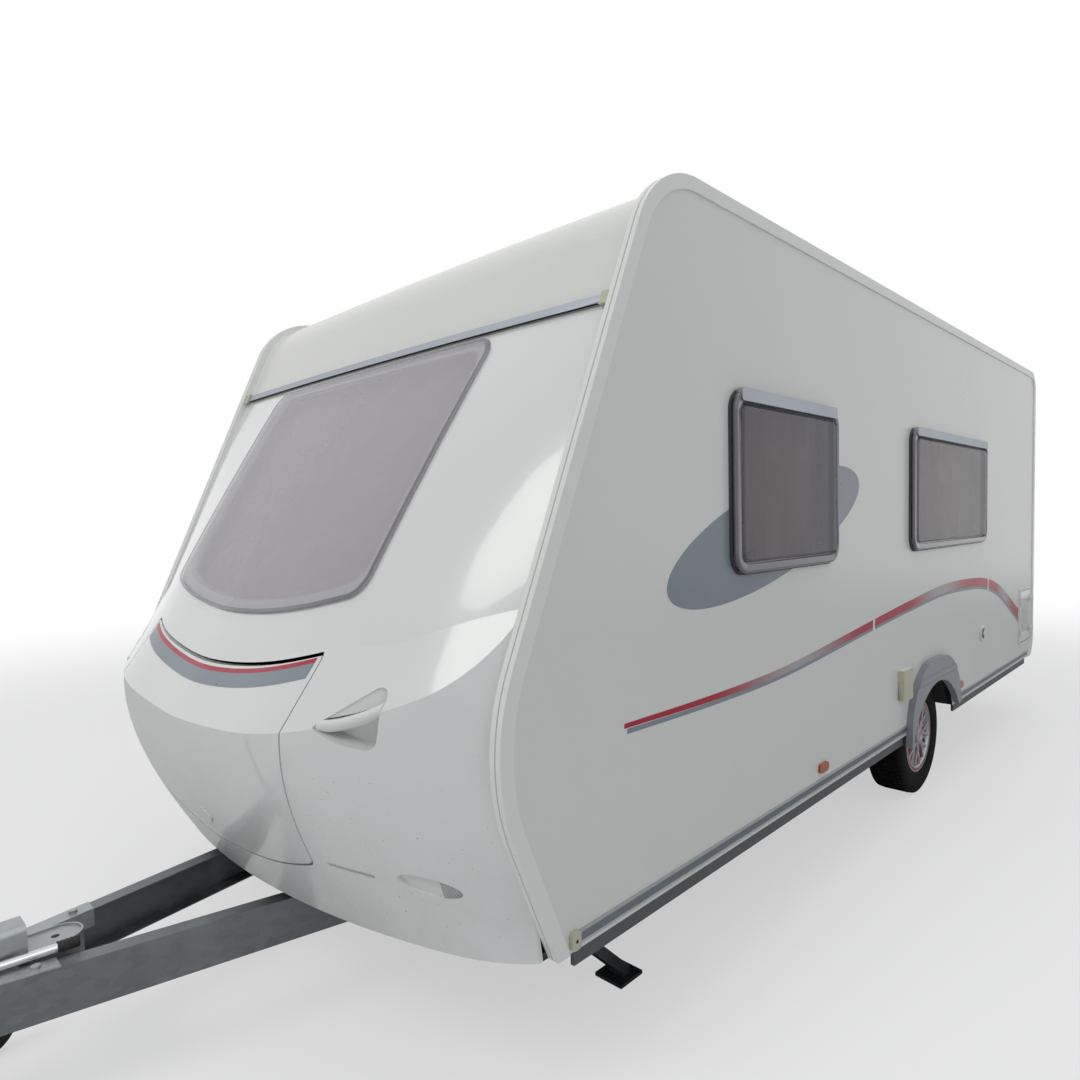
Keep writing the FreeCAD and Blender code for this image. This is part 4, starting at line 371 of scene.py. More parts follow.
def flat_decal(name, tint, rough=0.3):
    """Vinyl decal with faint wear."""
    finish = Finish(name, rough, Coat_Weight=0.1, Specular_IOR_Level=0.3)
    wear = finish.noise(12.0, 5.0)
    return finish.done(finish.mix(wear * 0.5, tint, shade(tint, 1.12)), wear * 0.15 + rough - 0.07)


library = {}


def make_finishes(paint):
    """Fill the library of finishes."""
    library.update({
        "body": painted("Body paint", paint.body),
        "wall": painted("Wall paint with painted arch shade", paint.body, shaded_arch=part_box("fenders")),
        "roof": painted("Roof paint", shade(paint.body, 0.97), 0.34, 0.5),
        "moulding": gel_coat("Gel coat", paint.moulding),
        "galvanised": zinc("Galvanised steel"),
        "housing": zinc("Plated housing", (0.34, 0.36, 0.37)),
        "cast": moulded("Cast and plated", (0.22, 0.23, 0.24), 0.5, 180.0, 0.25),
        "floor_board": moulded("Sealed plywood", (0.05, 0.042, 0.034), 0.7, 90.0, 0.3),
        "liner": moulded("Black liner", (0.018, 0.018, 0.02), 0.7),
        "trim": anodised("Anodised rail", paint.trim),
        "corner": painted("Coated corner rail", (0.85, 0.86, 0.84), 0.34),
        "channel": anodised("Sill channel", (0.20, 0.225, 0.25), 0.4),
        "cream": moulded("Cream plastic", paint.cream, 0.5, 200.0, 0.08),
        "skirt": moulded("Grey skirt", (0.085, 0.09, 0.097), 0.55),
        "acrylic": acrylic("Smoked acrylic", paint.glass, 0.46),
        "front_acrylic": acrylic("Light smoked acrylic", paint.front_glass, 0.45),
        "pane_edge": moulded("Painted pane edge", paint.pane_edge, 0.22, 300.0, 0.05, 0.5),
        "seal": rubber("Window seal", (0.065, 0.062, 0.075), 0.45, 0.2),
        "curtain": cloth("Curtain cloth", paint.curtain),
        "fender": moulded("Fender plastic", paint.fender, 0.34, 200.0, 0.06, 0.2),
        "lens_clear": lens("Clear lens", (0.52, 0.53, 0.54), 0.6),
        "lens_red": lens("Red lens", (0.42, 0.01, 0.012)),
        "lens_amber": lens("Amber lens", (0.42, 0.075, 0.004)),
        "white_plastic": moulded("White plastic", (0.80, 0.81, 0.79), 0.35, 200.0, 0.05, 0.2),
        "rail_grey": anodised("Dull front rail", (0.36, 0.39, 0.44), 0.4, (0.04, 1.0, 1.0)),
        "steady": zinc("Dark coated steel", (0.035, 0.04, 0.045)),
        "chrome": anodised("Bright plate", (0.62, 0.63, 0.64), 0.18),
        "rim": anodised("Wheel trim silver", (0.40, 0.40, 0.42), 0.4, (1.0, 1.0, 1.0)),
        "rim_red": moulded("Wheel trim red", paint.red, 0.35, 200.0, 0.1, 0.3),
        "black": rubber("Black rubber", (0.016, 0.016, 0.017), 0.55),
        # Painted shade: the tyres' black rubber is made darker than the other rubber, for the shade they sit
        # in under the caravan.
        "tyre": rubber("Tyre rubber darkened as painted shade", (0.007, 0.007, 0.008), 0.8, 0.12, 0.1),
        "hatch_panel": painted("Hatch panel", shade(paint.body, 0.80)),
        "red": flat_decal("Red decal", paint.red),
        "grey": flat_decal("Grey decal", paint.grey),
        "side_red": fading_stripe("Fading red decal", paint.red, (0.42, 0.43, 0.44), (
            (2.55 - ORIGIN_STATION, 0.62), (4.22 - ORIGIN_STATION, 0.55), (5.55 - ORIGIN_STATION, 0.26))),
    })


node_finishes = {
    "body": ("rear_panel", "front_cap", "door_panel"),
    "wall": ("left_wall", "right_wall"),
    "roof": ("roof",),
    "moulding": ("front_moulding", "locker_lid", "grab_handles"),
    "galvanised": ("drawbar_left", "drawbar_right", "chassis_rails", "cross_members", "axle_beam",
                   "jockey_clamp", "steady_brackets", "jockey_post", "jockey_leg", "jockey_fork"),
    "housing": ("overrun_housing",),
    "cast": ("trailing_arms", "coupling_head"),
    "floor_board": ("floor", "locker_tub"),
    "liner": ("wheel_boxes", "door_fittings"),
    "trim": ("sill_trims",),
    "rail_grey": ("front_rail", "window_rails"),
    "corner": ("awning_rails",),
    "cream": ("rail_caps", "side_fittings"),
    "skirt": ("skirts",),
    "acrylic": ("window_panes", "door_window"),
    "front_acrylic": ("front_window",),
    "seal": ("window_frames",),
    "curtain": ("curtains",),
    "fender": ("fenders",),
    "lens_clear": ("front_lamps",),
    "lens_red": ("rear_lamps",),
    "lens_amber": ("side_reflectors",),
    "white_plastic": ("fridge_vents", "rooflights", "service_bay", "service_hatch", "curtain_rails"),
    "steady": ("steady_front_left", "steady_front_right", "steady_rear_left", "steady_rear_right"),
    "chrome": ("handbrake_lever",),
    "rim": ("wheel_left", "wheel_right"),
    "black": ("bellows", "jockey_wheel"),
    "tyre": ("tyre_left", "tyre_right"),
}


# Shapes

def block(shape, low, high, place=(0.0, 0.0, 0.0)):
    """Add a box between two corners, counted from a place."""
    low, high = Vector(place) + Vector(low), Vector(place) + Vector(high)
    made = bmesh.ops.create_cube(shape, size=1.0)["verts"]
    bmesh.ops.scale(shape, vec=high - low, verts=made)
    bmesh.ops.translate(shape, vec=(low + high) / 2, verts=made)
    return made


def rod(shape, start, end, radius):
    """Add a round bar from start to end."""
    start, end = Vector(start), Vector(end)
    run = end - start
    place = Matrix.Translation((start + end) / 2) @ run.to_track_quat("Z", "Y").to_matrix().to_4x4()
    bmesh.ops.create_cone(shape, cap_ends=True, segments=24, radius1=radius, radius2=radius, depth=run.length,
                          matrix=place)


def soften(shape, width, segments=2):
    """Bevel every edge that turns sharply."""
    limit = math.radians(30.0)
    edges = [edge for edge in shape.edges if edge.is_manifold and edge.calc_face_angle() > limit]
    bmesh.ops.bevel(shape, geom=edges, offset=width, offset_type="OFFSET", segments=segments, profile=0.5,
                    affect="EDGES", material=-1)


def lathe(shape, profile, centre, steps=96):
    """Spin a line of points (x, radius) round a line along X through centre."""
    centre = Vector(centre)
    line = [shape.verts.new(centre + Vector((x, 0.0, radius))) for x, radius in profile]
    edges = [shape.edges.new(pair) for pair in zip(line, line[1:])]
    if max(profile[0][1], profile[-1][1]) > MERGE:
        edges.append(shape.edges.new((line[-1], line[0])))
    bmesh.ops.spin(shape, geom=line + edges, cent=centre, axis=(1.0, 0.0, 0.0), angle=math.tau, steps=steps,
                   use_merge=True)
    bmesh.ops.remove_doubles(shape, verts=shape.verts, dist=MERGE)
    bmesh.ops.recalc_face_normals(shape, faces=shape.faces)


def repeat_round(shape, centre, count):
    """Copy all there is round a line along X through centre."""
    geometry = shape.verts[:] + shape.edges[:] + shape.faces[:]
    bmesh.ops.spin(shape, geom=geometry, cent=Vector(centre), axis=(1.0, 0.0, 0.0),
                   angle=math.tau * (count - 1) / count, steps=count - 1, use_duplicate=True)


def flip_side(shape):
    """Mirror a shape to the other side of the caravan."""
    bmesh.ops.scale(shape, vec=(-1.0, 1.0, 1.0), verts=shape.verts)
    bmesh.ops.reverse_faces(shape, faces=shape.faces)


def piece(name, shape, body, finish, smooth=35.0):
    """Turn a shape into a piece that rides on a body; finish is one name or one for each material index."""
    mesh = bpy.data.meshes.new(name)
    shape.to_mesh(mesh)
    shape.free()
    mesh.shade_smooth()
    mesh.set_sharp_from_angle(angle=math.radians(smooth))
    for label in (finish,) if isinstance(finish, str) else finish:
        mesh.materials.append(library[label])
    made = bpy.data.objects.new(name, mesh)
    bpy.context.scene.collection.objects.link(made)
    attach(made, body)
    return made


def copied(node):
    """Merged copy of a carried-over part's mesh."""
    shape = bmesh.new()
    shape.from_mesh(nodes[node].data)
    bmesh.ops.remove_doubles(shape, verts=shape.verts, dist=MERGE)
    return shape


def join(shape, other):
    """Move one shape's mesh into another."""
    mesh = bpy.data.meshes.new("part")
    other.to_mesh(mesh)
    other.free()
    shape.from_mesh(mesh)
    bpy.data.meshes.remove(mesh)


def separate(shape):
    """Lowest and highest corner of each separate solid, in order along the caravan."""
    found = []
    left = set(shape.verts)
    while left:
        island, reach = set(), [next(iter(left))]
        while reach:
            vert = reach.pop()
            if vert in island:
                continue
            island.add(vert)
            reach.extend(edge.other_vert(vert) for edge in vert.link_edges)
        left -= island
        corners = [vert.co for vert in island]
        found.append((Vector([min(co[axis] for co in corners) for axis in range(3)]),
                      Vector([max(co[axis] for co in corners) for axis in range(3)])))
    return sorted(found, key=lambda slab: (round(slab[0].y, 3), slab[0].x))


def recoat(node, body, finishes, choose):
    """Stand a copy of a carried-over part in its place, with a finish chosen for each face."""
    shape = copied(node)
    for face in shape.faces:
        face.material_index = int(choose(face.calc_center_median(), face.normal))
    made = piece(node + "_finished", shape, body, finishes)
    made.modifiers.new("Even shading", "WEIGHTED_NORMAL").keep_sharp = True
    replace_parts(made, node)


def along(points, place):
    """Height of a smooth line through points (place, height)."""
    last = len(points) - 2
    index = max(0, min(last, sum(1 for point in points if point[0] <= place) - 1))
    before, start, end, after = (points[max(0, min(last + 1, index + step))] for step in (-1, 0, 1, 2))
    span = end[0] - start[0]
    share = (place - start[0]) / span
    start_slope = (end[1] - before[1]) / (end[0] - before[0]) * span
    end_slope = (after[1] - start[1]) / (after[0] - start[0]) * span
    square, cube = share ** 2, share ** 3
    return ((2 * cube - 3 * square + 1) * start[1] + (cube - 2 * square + share) * start_slope
            + (3 * square - 2 * cube) * end[1] + (cube - square) * end_slope)


# Stripes and decals

STRIPE_TOP = ((1.523, 0.944), (1.891, 0.940), (2.261, 0.944), (2.562, 0.960), (3.279, 1.025), (3.740, 1.065),
              (4.286, 1.103), (4.860, 1.093), (5.150, 1.065), (5.444, 0.997), (5.901, 0.812))
STRIPE_WIDTH = ((1.523, 0.030), (2.261, 0.037), (3.279, 0.047), (4.286, 0.062), (5.150, 0.072),
                (5.901, 0.093))
GREY_WIDTH = ((1.523, 0.014), (2.261, 0.013), (3.279, 0.013), (4.286, 0.014), (5.150, 0.017), (5.901, 0.022))
STRIPE_BREAKS = (3.279, 5.150)
HATCH_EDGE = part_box("service_hatch")[0].y + ORIGIN_STATION - 0.016
DOOR_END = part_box("door_panel")[1].y
DOOR_SPAN = (DOOR_END - 0.590, DOOR_END + 0.010)
WINDOWS = ((-0.955, -0.161, 1.302, 1.906), (0.693, 2.002, 1.302, 1.906))
VENT_LOW, VENT_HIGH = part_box("fridge_vents")
VENT_HEIGHT = 0.22


def slice_at(shape, place, normal, drop=False):
    """Cut a shape with a plane, and drop what lies outside it."""
    bmesh.ops.bisect_plane(shape, geom=shape.verts[:] + shape.edges[:] + shape.faces[:], plane_co=place,
                           plane_no=normal, clear_outer=drop)


def drop_inside(shape, low, high):
    """Cut out the part of a side decal between two corners (y, z)."""
    for corner in (low, high):
        slice_at(shape, (0, corner[0], 0), (0, 1, 0))
    for corner in (low, high):
        slice_at(shape, (0, 0, corner[1]), (0, 0, 1))
    inside = []
    for face in shape.faces:
        middle = face.calc_center_median()
        if low[0] < middle.y < high[0] and low[1] < middle.z < high[1]:
            inside.append(face)
    bmesh.ops.delete(shape, geom=inside, context="FACES")


def keep_between(shape, low, high):
    """Keep only the part of a side decal between two places along Y."""
    for place, outwards in ((low, -1), (high, 1)):
        slice_at(shape, (0, place, 0), (0, outwards, 0), drop=True)


def lay_on_side(name, draw, finish, proud):
    """Lay a decal on both walls; on the right one the door carries its own part."""
    edge, leaf_stand, gap, far = 0.002, 0.005, 0.010, 9.0

    def lay(label, body, side, stand, low, high):
        shape = bmesh.new()
        draw(shape)
        keep_between(shape, low, high)
        if side < 0:
            drop_inside(shape, (VENT_LOW.y - gap, VENT_LOW.z - gap),
                        (VENT_HIGH.y + gap, VENT_LOW.z + VENT_HEIGHT + gap))
        if not shape.faces:
            shape.free()
            return
        bmesh.ops.translate(shape, vec=(WALL_X + stand, 0, 0), verts=shape.verts)
        for face in shape.faces:
            if face.normal.x < 0:
                face.normal_flip()
        top = bmesh.ops.extrude_face_region(shape, geom=shape.faces[:])["geom"]
        top = [item for item in top if isinstance(item, bmesh.types.BMVert)]
        bmesh.ops.translate(shape, vec=(proud, 0, 0), verts=top)
        bmesh.ops.recalc_face_normals(shape, faces=shape.faces)
        if side < 0:
            flip_side(shape)
        piece(label, shape, body, finish)

    lay(name + "_left", "root", 1, 0.0, -far, far)
    lay(name + "_right_front", "root", -1, 0.0, -far, DOOR_SPAN[0] - edge)
    lay(name + "_right_door", "door", -1, leaf_stand, DOOR_SPAN[0] + gap + edge, DOOR_SPAN[1] - gap - edge)
    lay(name + "_right_rear", "root", -1, 0.0, DOOR_SPAN[1] + edge, far)


def ribbon(shape, upper, lower, start, end, lean, steps=48):
    """Add a band between two lines, both functions of the place along Y; its ends lean."""
    made = bmesh.ops.create_grid(shape, x_segments=steps, y_segments=1, size=0.5)["verts"]
    for vert in made:
        share, height = vert.co.x + 0.5, vert.co.y + 0.5
        place = start + (end - start) * share
        high, low = upper(place), lower(place)
        z = low + (high - low) * height
        vert.co = (0.0, place - ORIGIN_STATION + (z - low) * lean, z)
    return made


# Pieces and the steps that make them

class CARAVAN_OT_finishes(Operator):
    """Give every carried-over part its finish"""

    bl_idname = "caravan.finishes"
    bl_label = "Finishes"

    def execute(self, context):
        make_finishes(context.scene.caravan.paint)
        for finish, names in node_finishes.items():
            for name in names:
                mesh = nodes[name].data
                if not mesh.materials:
                    mesh.materials.append(None)
                for slot in nodes[name].material_slots:
                    slot.material = library[finish]
        return {"FINISHED"}


class CARAVAN_OT_side_stripes(Operator):
    """Lay the swept stripe and the ellipse on both walls"""

    bl_idname = "caravan.side_stripes"
    bl_label = "Side stripes"

    def execute(self, context):
        sizes = context.scene.caravan.stripes
        lean, split, split_end, grey_start = 0.12, 0.0035, 2.3, 0.012

        def top(place):
            return along(STRIPE_TOP, place)

        def middle(place):
            return top(place) - along(STRIPE_WIDTH, place) + along(GREY_WIDTH, place)

        def foot(place):
            return top(place) - along(STRIPE_WIDTH, place)

        def red_foot(place):
            return middle(place) + max(0.0, split * (split_end - place))

        starts = (STRIPE_TOP[0][0], *(place + sizes.gap / 2 for place in STRIPE_BREAKS))
        ends = (*(place - sizes.gap / 2 for place in STRIPE_BREAKS), HATCH_EDGE)

        def red(shape):
            for start, end in zip(starts, ends):
                ribbon(shape, top, red_foot, start, end, lean)

        def grey(shape):
            for index, (start, end) in enumerate(zip(starts, ends)):
                ribbon(shape, middle, foot, start + (0.0 if index else grey_start), end, lean)

        def breaks(shape):
            for place in STRIPE_BREAKS:
                ribbon(shape, top, foot, place - sizes.gap / 2, place + sizes.gap / 2, lean, 2)

        def ellipse(shape):
            made = bmesh.ops.create_circle(shape, cap_ends=True, segments=96, radius=1.0)["verts"]
            bmesh.ops.triangulate(shape, faces=shape.faces)
            wide, tall, tilt = 0.694, 0.173, 0.235
            middle_y, middle_z = 2.4215 - ORIGIN_STATION, 1.452
            for vert in made:
                run, rise = vert.co.x * wide, vert.co.y * tall
                vert.co = (0.0, middle_y + run, middle_z + rise + run * tilt)
            low_y, high_y, low_z, high_z = WINDOWS[0]
            under = 0.030
            drop_inside(shape, (low_y + under, low_z + under), (high_y - under, high_z - under))

        lay_on_side("stripe_red", red, "side_red", sizes.proud)
        lay_on_side("stripe_grey", grey, "grey", sizes.proud)
        lay_on_side("stripe_break", breaks, "white_plastic", sizes.proud)
        lay_on_side("ellipse_grey", ellipse, "grey", sizes.proud)
        return {"FINISHED"}


PANE_EDGE = 0.042
RAIL_DROP = 0.012
PANES = ((1, *WINDOWS[0]), (1, *WINDOWS[1]), (-1, *WINDOWS[0]), (-1, 1.225, 2.225, 1.402, 1.906))


def pane_field(window):
    """Clear middle of a side pane: lowest and highest y and z."""
    low_y, high_y, low_z, high_z = window
    return low_y + PANE_EDGE, high_y - PANE_EDGE, low_z + PANE_EDGE, high_z - PANE_EDGE - RAIL_DROP


def window_stays():
    """Dark stays at the foot of each side pane and a catch halfway up, behind the acrylic."""
    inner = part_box("window_frames")[1].x
    face = inner - 0.0005
    inset, catch_half, catch_share = 0.035, 0.028, 0.30
    bars = ((0.075, 0.020, 0.018, 0.036), (0.022, 0.016, 0.030, 0.052))
    shape = bmesh.new()
    for side, *window in PANES:
        low_y, high_y, low_z, high_z = pane_field(window)
        made = []
        for start, lean in ((low_y + inset, 1), (high_y - inset, -1)):
            for reach, depth, foot, top in bars:
                near, away = sorted((start, start + lean * reach))
                made += block(shape, (inner - depth, near, low_z + foot), (face, away, low_z + top))
        middle = low_z + (high_z - low_z) * catch_share
        made += block(shape, (inner - 0.018, low_y + 0.014, middle - catch_half),
                      (face, low_y + 0.034, middle + catch_half))
        if side < 0:
            for vert in made:
                vert.co.x = -vert.co.x
    bmesh.ops.recalc_face_normals(shape, faces=shape.faces)
    soften(shape, 0.003)
    piece("window_stays", shape, "root", "black")


def front_window_edge():
    """Darker painted band round the front window, laid on its curved face."""
    width, proud, facing = 0.012, 0.0008, 0.55
    shape = copied("front_window")
    surface = BVHTree.FromBMesh(shape)
    ahead = Vector((0.0, -0.86, 0.5))
    turned = [face for face in shape.faces if face.normal.dot(ahead) < facing]
    bmesh.ops.delete(shape, geom=turned, context="FACES")
    rim = [edge for edge in shape.edges if edge.is_boundary]
    inward = {}
    for edge in rim:
        face = edge.link_faces[0]
        across = (edge.verts[1].co - edge.verts[0].co).cross(face.normal).normalized()
        if across.dot(face.calc_center_median() - edge.verts[0].co) < 0:
            across = -across
        for vert in edge.verts:
            inward[vert] = inward.get(vert, Vector()) + across
    field = shape.faces[:]
    made = bmesh.ops.extrude_edge_only(shape, edges=rim)["geom"]
    for vert in [item for item in made if isinstance(item, bmesh.types.BMVert)]:
        root = next(edge.other_vert(vert) for edge in vert.link_edges if edge.other_vert(vert) in inward)
        turn = inward[root]
        place = root.co + turn.normalized() * width / max(0.5, min(1.0, turn.length / 2))
        vert.co = surface.find_nearest(place)[0]
    bmesh.ops.delete(shape, geom=field, context="FACES")
    bmesh.ops.recalc_face_normals(shape, faces=shape.faces)
    if sum(face.normal.dot(ahead) for face in shape.faces) < 0:
        bmesh.ops.reverse_faces(shape, faces=shape.faces)
    for vert in shape.verts:
        vert.co += ahead.normalized() * proud
    piece("front_window_edge", shape, "root", "pane_edge")


class CARAVAN_OT_windows(Operator):
    """Finish the panes' edges, and fit the window stays and the front window's dark edge"""

    bl_idname = "caravan.windows"
    bl_label = "Windows"

    def execute(self, context):
        slack = 0.0015

        def pane_part(place, normal):
            for side, *window in PANES:
                low_y, high_y, low_z, high_z = pane_field(window)
                if (place.x * side > WALL_X - slack and low_y - slack < place.y < high_y + slack
                        and low_z - slack < place.z < high_z + slack):
                    return 0
            return 0 if abs(place.x) < WALL_X / 2 else 1

        recoat("window_panes", "root", ("acrylic", "pane_edge"), pane_part)
        window_stays()
        front_window_edge()
        return {"FINISHED"}


def hatch_fittings():
    """White frame, plain middle and turn knobs of the service hatch."""
    low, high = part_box("service_hatch")
    border = 0.052

    def hatch_part(place, normal):
        return all(low[axis] + border < place[axis] < high[axis] - border for axis in (1, 2))

    recoat("service_hatch", "service_hatch", ("white_plastic", "hatch_panel"), hatch_part)
    knobs = bmesh.new()
    for z in (low.z + 0.075, high.z - 0.060):
        centre = Vector((0.0, high.y - 0.026, z))
        profile = ((-0.004, 0.0), (-0.004, 0.019), (0.004, 0.018), (0.006, 0.015), (0.006, 0.0))
        lathe(knobs, [(high.x + stand, radius) for stand, radius in profile], centre, 32)
        block(knobs, (high.x + 0.005, -0.004, -0.015), (high.x + 0.013, 0.004, 0.015), centre)
    piece("hatch_knobs", knobs, "service_hatch", "white_plastic")


def filler_fittings(centre):
    """Dark recess and key tab of the water filler's cap."""
    dark = bmesh.new()
    lathe(dark, [(0.0, 0.0), (0.0008, 0.0), (0.0008, 0.031), (0.0, 0.032)], centre, 48)
    piece("filler_recess", dark, "root", "black")
    tab = bmesh.new()
    block(tab, (0.0, -0.006, -0.026), (0.007, 0.006, 0.026), centre)
    block(tab, (0.0, -0.016, -0.008), (0.005, 0.016, 0.008), centre)
    soften(tab, 0.0018)
    piece("filler_tab", tab, "root", "white_plastic")


def tail_markers():
    """Lenses of the marker lamps that reach past the tail's corners."""
    rail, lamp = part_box("awning_rails")[1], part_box("rear_lamps")[1]
    inwards, overlap, below, margin, past, rounding = 0.045, 0.0005, 0.098, 0.012, 0.026, 0.008
    for name, side in (("left", 1), ("right", -1)):
        shape = bmesh.new()
        block(shape, (lamp.x - inwards, rail.y - overlap, lamp.z - below),
              (rail.x - margin, rail.y + past, lamp.z + margin))
        soften(shape, rounding, 4)
        if side < 0:
            flip_side(shape)
        piece("tail_marker_" + name, shape, "root", "lens_red")


def cap_screws():
    """Dark screw in each end cap of the sill trims."""
    sunk, stand, radius = 0.004, 0.0012, 0.0042
    caps = copied("rail_caps")
    shape = bmesh.new()
    for low, high in separate(caps):
        middle = (low + high) / 2
        side = 1 if middle.x > 0 else -1
        face = high.x if side > 0 else low.x
        start, end = face - side * sunk, face + side * stand
        rod(shape, (start, middle.y, middle.z), (end, middle.y, middle.z), radius)
    caps.free()
    piece("cap_screws", shape, "root", "steady")


class CARAVAN_OT_fittings(Operator):
    """Finish the small fittings that carry more than one material"""

    bl_idname = "caravan.fittings"
    bl_label = "Fittings"

    def execute(self, context):
        lip_share, level, upward = 0.24, 0.75, 0.6
        sill_low, sill_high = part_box("sill_trims")
        lip = (sill_high.z - sill_low.z) * lip_share
        recoat("sill_trims", "root", ("trim", "channel"),
               lambda place, normal: sill_low.z + lip < place.z < sill_high.z - lip)
        slope = Vector((0.0, 0.56, 0.83))
        recoat("front_rail", "root", ("rail_grey", "black"),
               lambda place, normal: abs(normal.dot(slope)) > level)
        hatch_fittings()
        sleeve = 0.0515
        sleeve_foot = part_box("handbrake_lever")[1].y - sleeve
        recoat("handbrake_lever", "root", ("chrome", "black"), lambda place, normal: place.y > sleeve_foot)
        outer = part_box("side_fittings")[1]
        cap_reach = 0.15
        recoat("side_fittings", "root", ("cream", "white_plastic"),
               lambda place, normal: place.y > outer.y - cap_reach or normal.z > upward)
        cap_depth, cap_radius, cap_height = 0.016, 0.0498, 0.744
        filler_fittings(Vector((outer.x - cap_depth, outer.y - cap_radius, cap_height)))
        tail_markers()
        cap_screws()
        return {"FINISHED"}


class CARAVAN_OT_lid_stripes(Operator):
    """Lay the red line and the grey band on the locker's lid"""

    bl_idname = "caravan.lid_stripes"
    bl_label = "Lid stripes"

    def execute(self, context):
        sizes = context.scene.caravan.stripes
        lid = bmesh.new()
        lid.from_mesh(nodes["locker_lid"].data)
        surface = BVHTree.FromBMesh(lid)
        low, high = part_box("locker_lid")
        margin, middle_height, side_rise, columns, rows = 0.016, 1.072, 0.222, 72, 4
        half = high.x - margin

        def bead(across):
            return middle_height + side_rise * across ** 2

        def lay(name, upper, lower, finish):
            shape = bmesh.new()
            made = bmesh.ops.create_grid(shape, x_segments=columns, y_segments=rows, size=0.5)["verts"]
            for vert in made:
                across = vert.co.x * 2 * half
                z = lower(across) + (upper(across) - lower(across)) * (vert.co.y + 0.5)
                hit = surface.ray_cast(Vector((across, low.y - 1.0, z)), Vector((0.0, 1.0, 0.0)))
                vert.co = hit[0] + hit[1] * sizes.proud
            for face in shape.faces:
                if face.normal.y > 0:
                    face.normal_flip()
            bmesh.ops.recalc_face_normals(shape, faces=shape.faces)
            piece(name, shape, "locker_lid", finish)

        lay("lid_line_red", bead, lambda across: bead(across) - sizes.lid_red, "red")
        lay("lid_band_grey", lambda across: bead(across) - sizes.lid_red,
            lambda across: bead(across) - sizes.lid_red - sizes.lid_grey, "grey")
        lid.free()
        return {"FINISHED"}


class CARAVAN_OT_tyres(Operator):
    """Replace the plain tyres with treaded ones"""

    bl_idname = "caravan.tyres"
    bl_label = "Tyres"

    def execute(self, context):
        sizes = context.scene.caravan.tyres
        low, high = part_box("tyre_left")
        centre = (low + high) / 2
        half, radius = (high.x - low.x) / 2, (high.z - low.z) / 2
        seat, shoulder, shoulder_drop, skew = 0.190, 0.7, 0.0035, 0.006
        root, block_start, block_share, rounding = 0.004, 0.44, 0.86, 0.0012
        base = radius - sizes.groove
        rows = ((-0.86, -0.58, 0.30), (-0.54, -0.22, -0.10), (-0.18, 0.18, 0.12), (0.22, 0.54, -0.10),
                (0.58, 0.86, 0.30))
        profile = ((0.74, 0.0), (0.86, 0.002), (0.92, 0.010), (0.95, 0.016), (0.955, 0.022), (0.98, 0.040),
                   (1.0, 0.060), (0.985, 0.078), (0.95, 0.092), (0.90, 0.100))
        ring = [(share * half, seat + rise) for share, rise in profile] + [(0.84 * half, base)]
        ring += [(-x, round_at) for x, round_at in reversed(ring)]
        for name, side in (("tyre_left", 1), ("tyre_right", -1)):
            shape = bmesh.new()
            lathe(shape, ring, centre)
            tread = bmesh.new()
            pitch = math.tau * radius / sizes.pitches
            for left, right, shift in rows:
                start = pitch * (shift - block_start)
                made = block(tread, (left * half, start, base - root),
                             (right * half, start + pitch * block_share, radius), centre)
                for vert in made:
                    edge = abs(vert.co.x - centre.x) / half
                    if abs(left + right) > 1 and vert.co.z > centre.z + base and edge > shoulder:
                        vert.co.z -= shoulder_drop
                    vert.co.y += skew * (1 if vert.co.x > centre.x else -1) * (0.3 + edge)
            soften(tread, rounding, 1)
            repeat_round(tread, centre, sizes.pitches)
            join(shape, tread)
            if side < 0:
                flip_side(shape)
            body = "wheel_left" if side > 0 else "wheel_right"
            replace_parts(piece(name + "_treaded", shape, body, "tyre"), name)
        return {"FINISHED"}


def trim_fork(shape, hub, face, outer, width, lift):
    """One spoke: a stem from the middle that forks to the rim, from three tapered bars."""
    split, thick, fork_angle = outer * 0.52, 0.012, 0.205

    def bar(start, end, start_width, end_width):
        made = block(shape, (-thick, -0.5, 0.0), (0.0, 0.5, 1.0))
        run = Vector((0.0, end[0] - start[0], end[1] - start[1]))
        across = Vector((0.0, run.z, -run.y)).normalized()
        for vert in made:
            share, edge = vert.co.z, vert.co.y
            reach = start_width + (end_width - start_width) * share
            place = Vector((0.0, *start)) + run * share + across * edge * reach
            crown = lift * (1.0 - share) * 0.4
            vert.co = hub + Vector((face + vert.co.x + crown, place.y, place.z))

    bar((0.0, 0.026), (0.0, split), width * 1.7, width * 1.25)
    for turn in (-1, 1):
        angle = turn * fork_angle
        end = (math.sin(angle) * outer, math.cos(angle) * outer - 0.008)
        bar((turn * width * 0.30, split - 0.006), end, width * 0.85, width * 0.62)
    soften(shape, 0.0022)


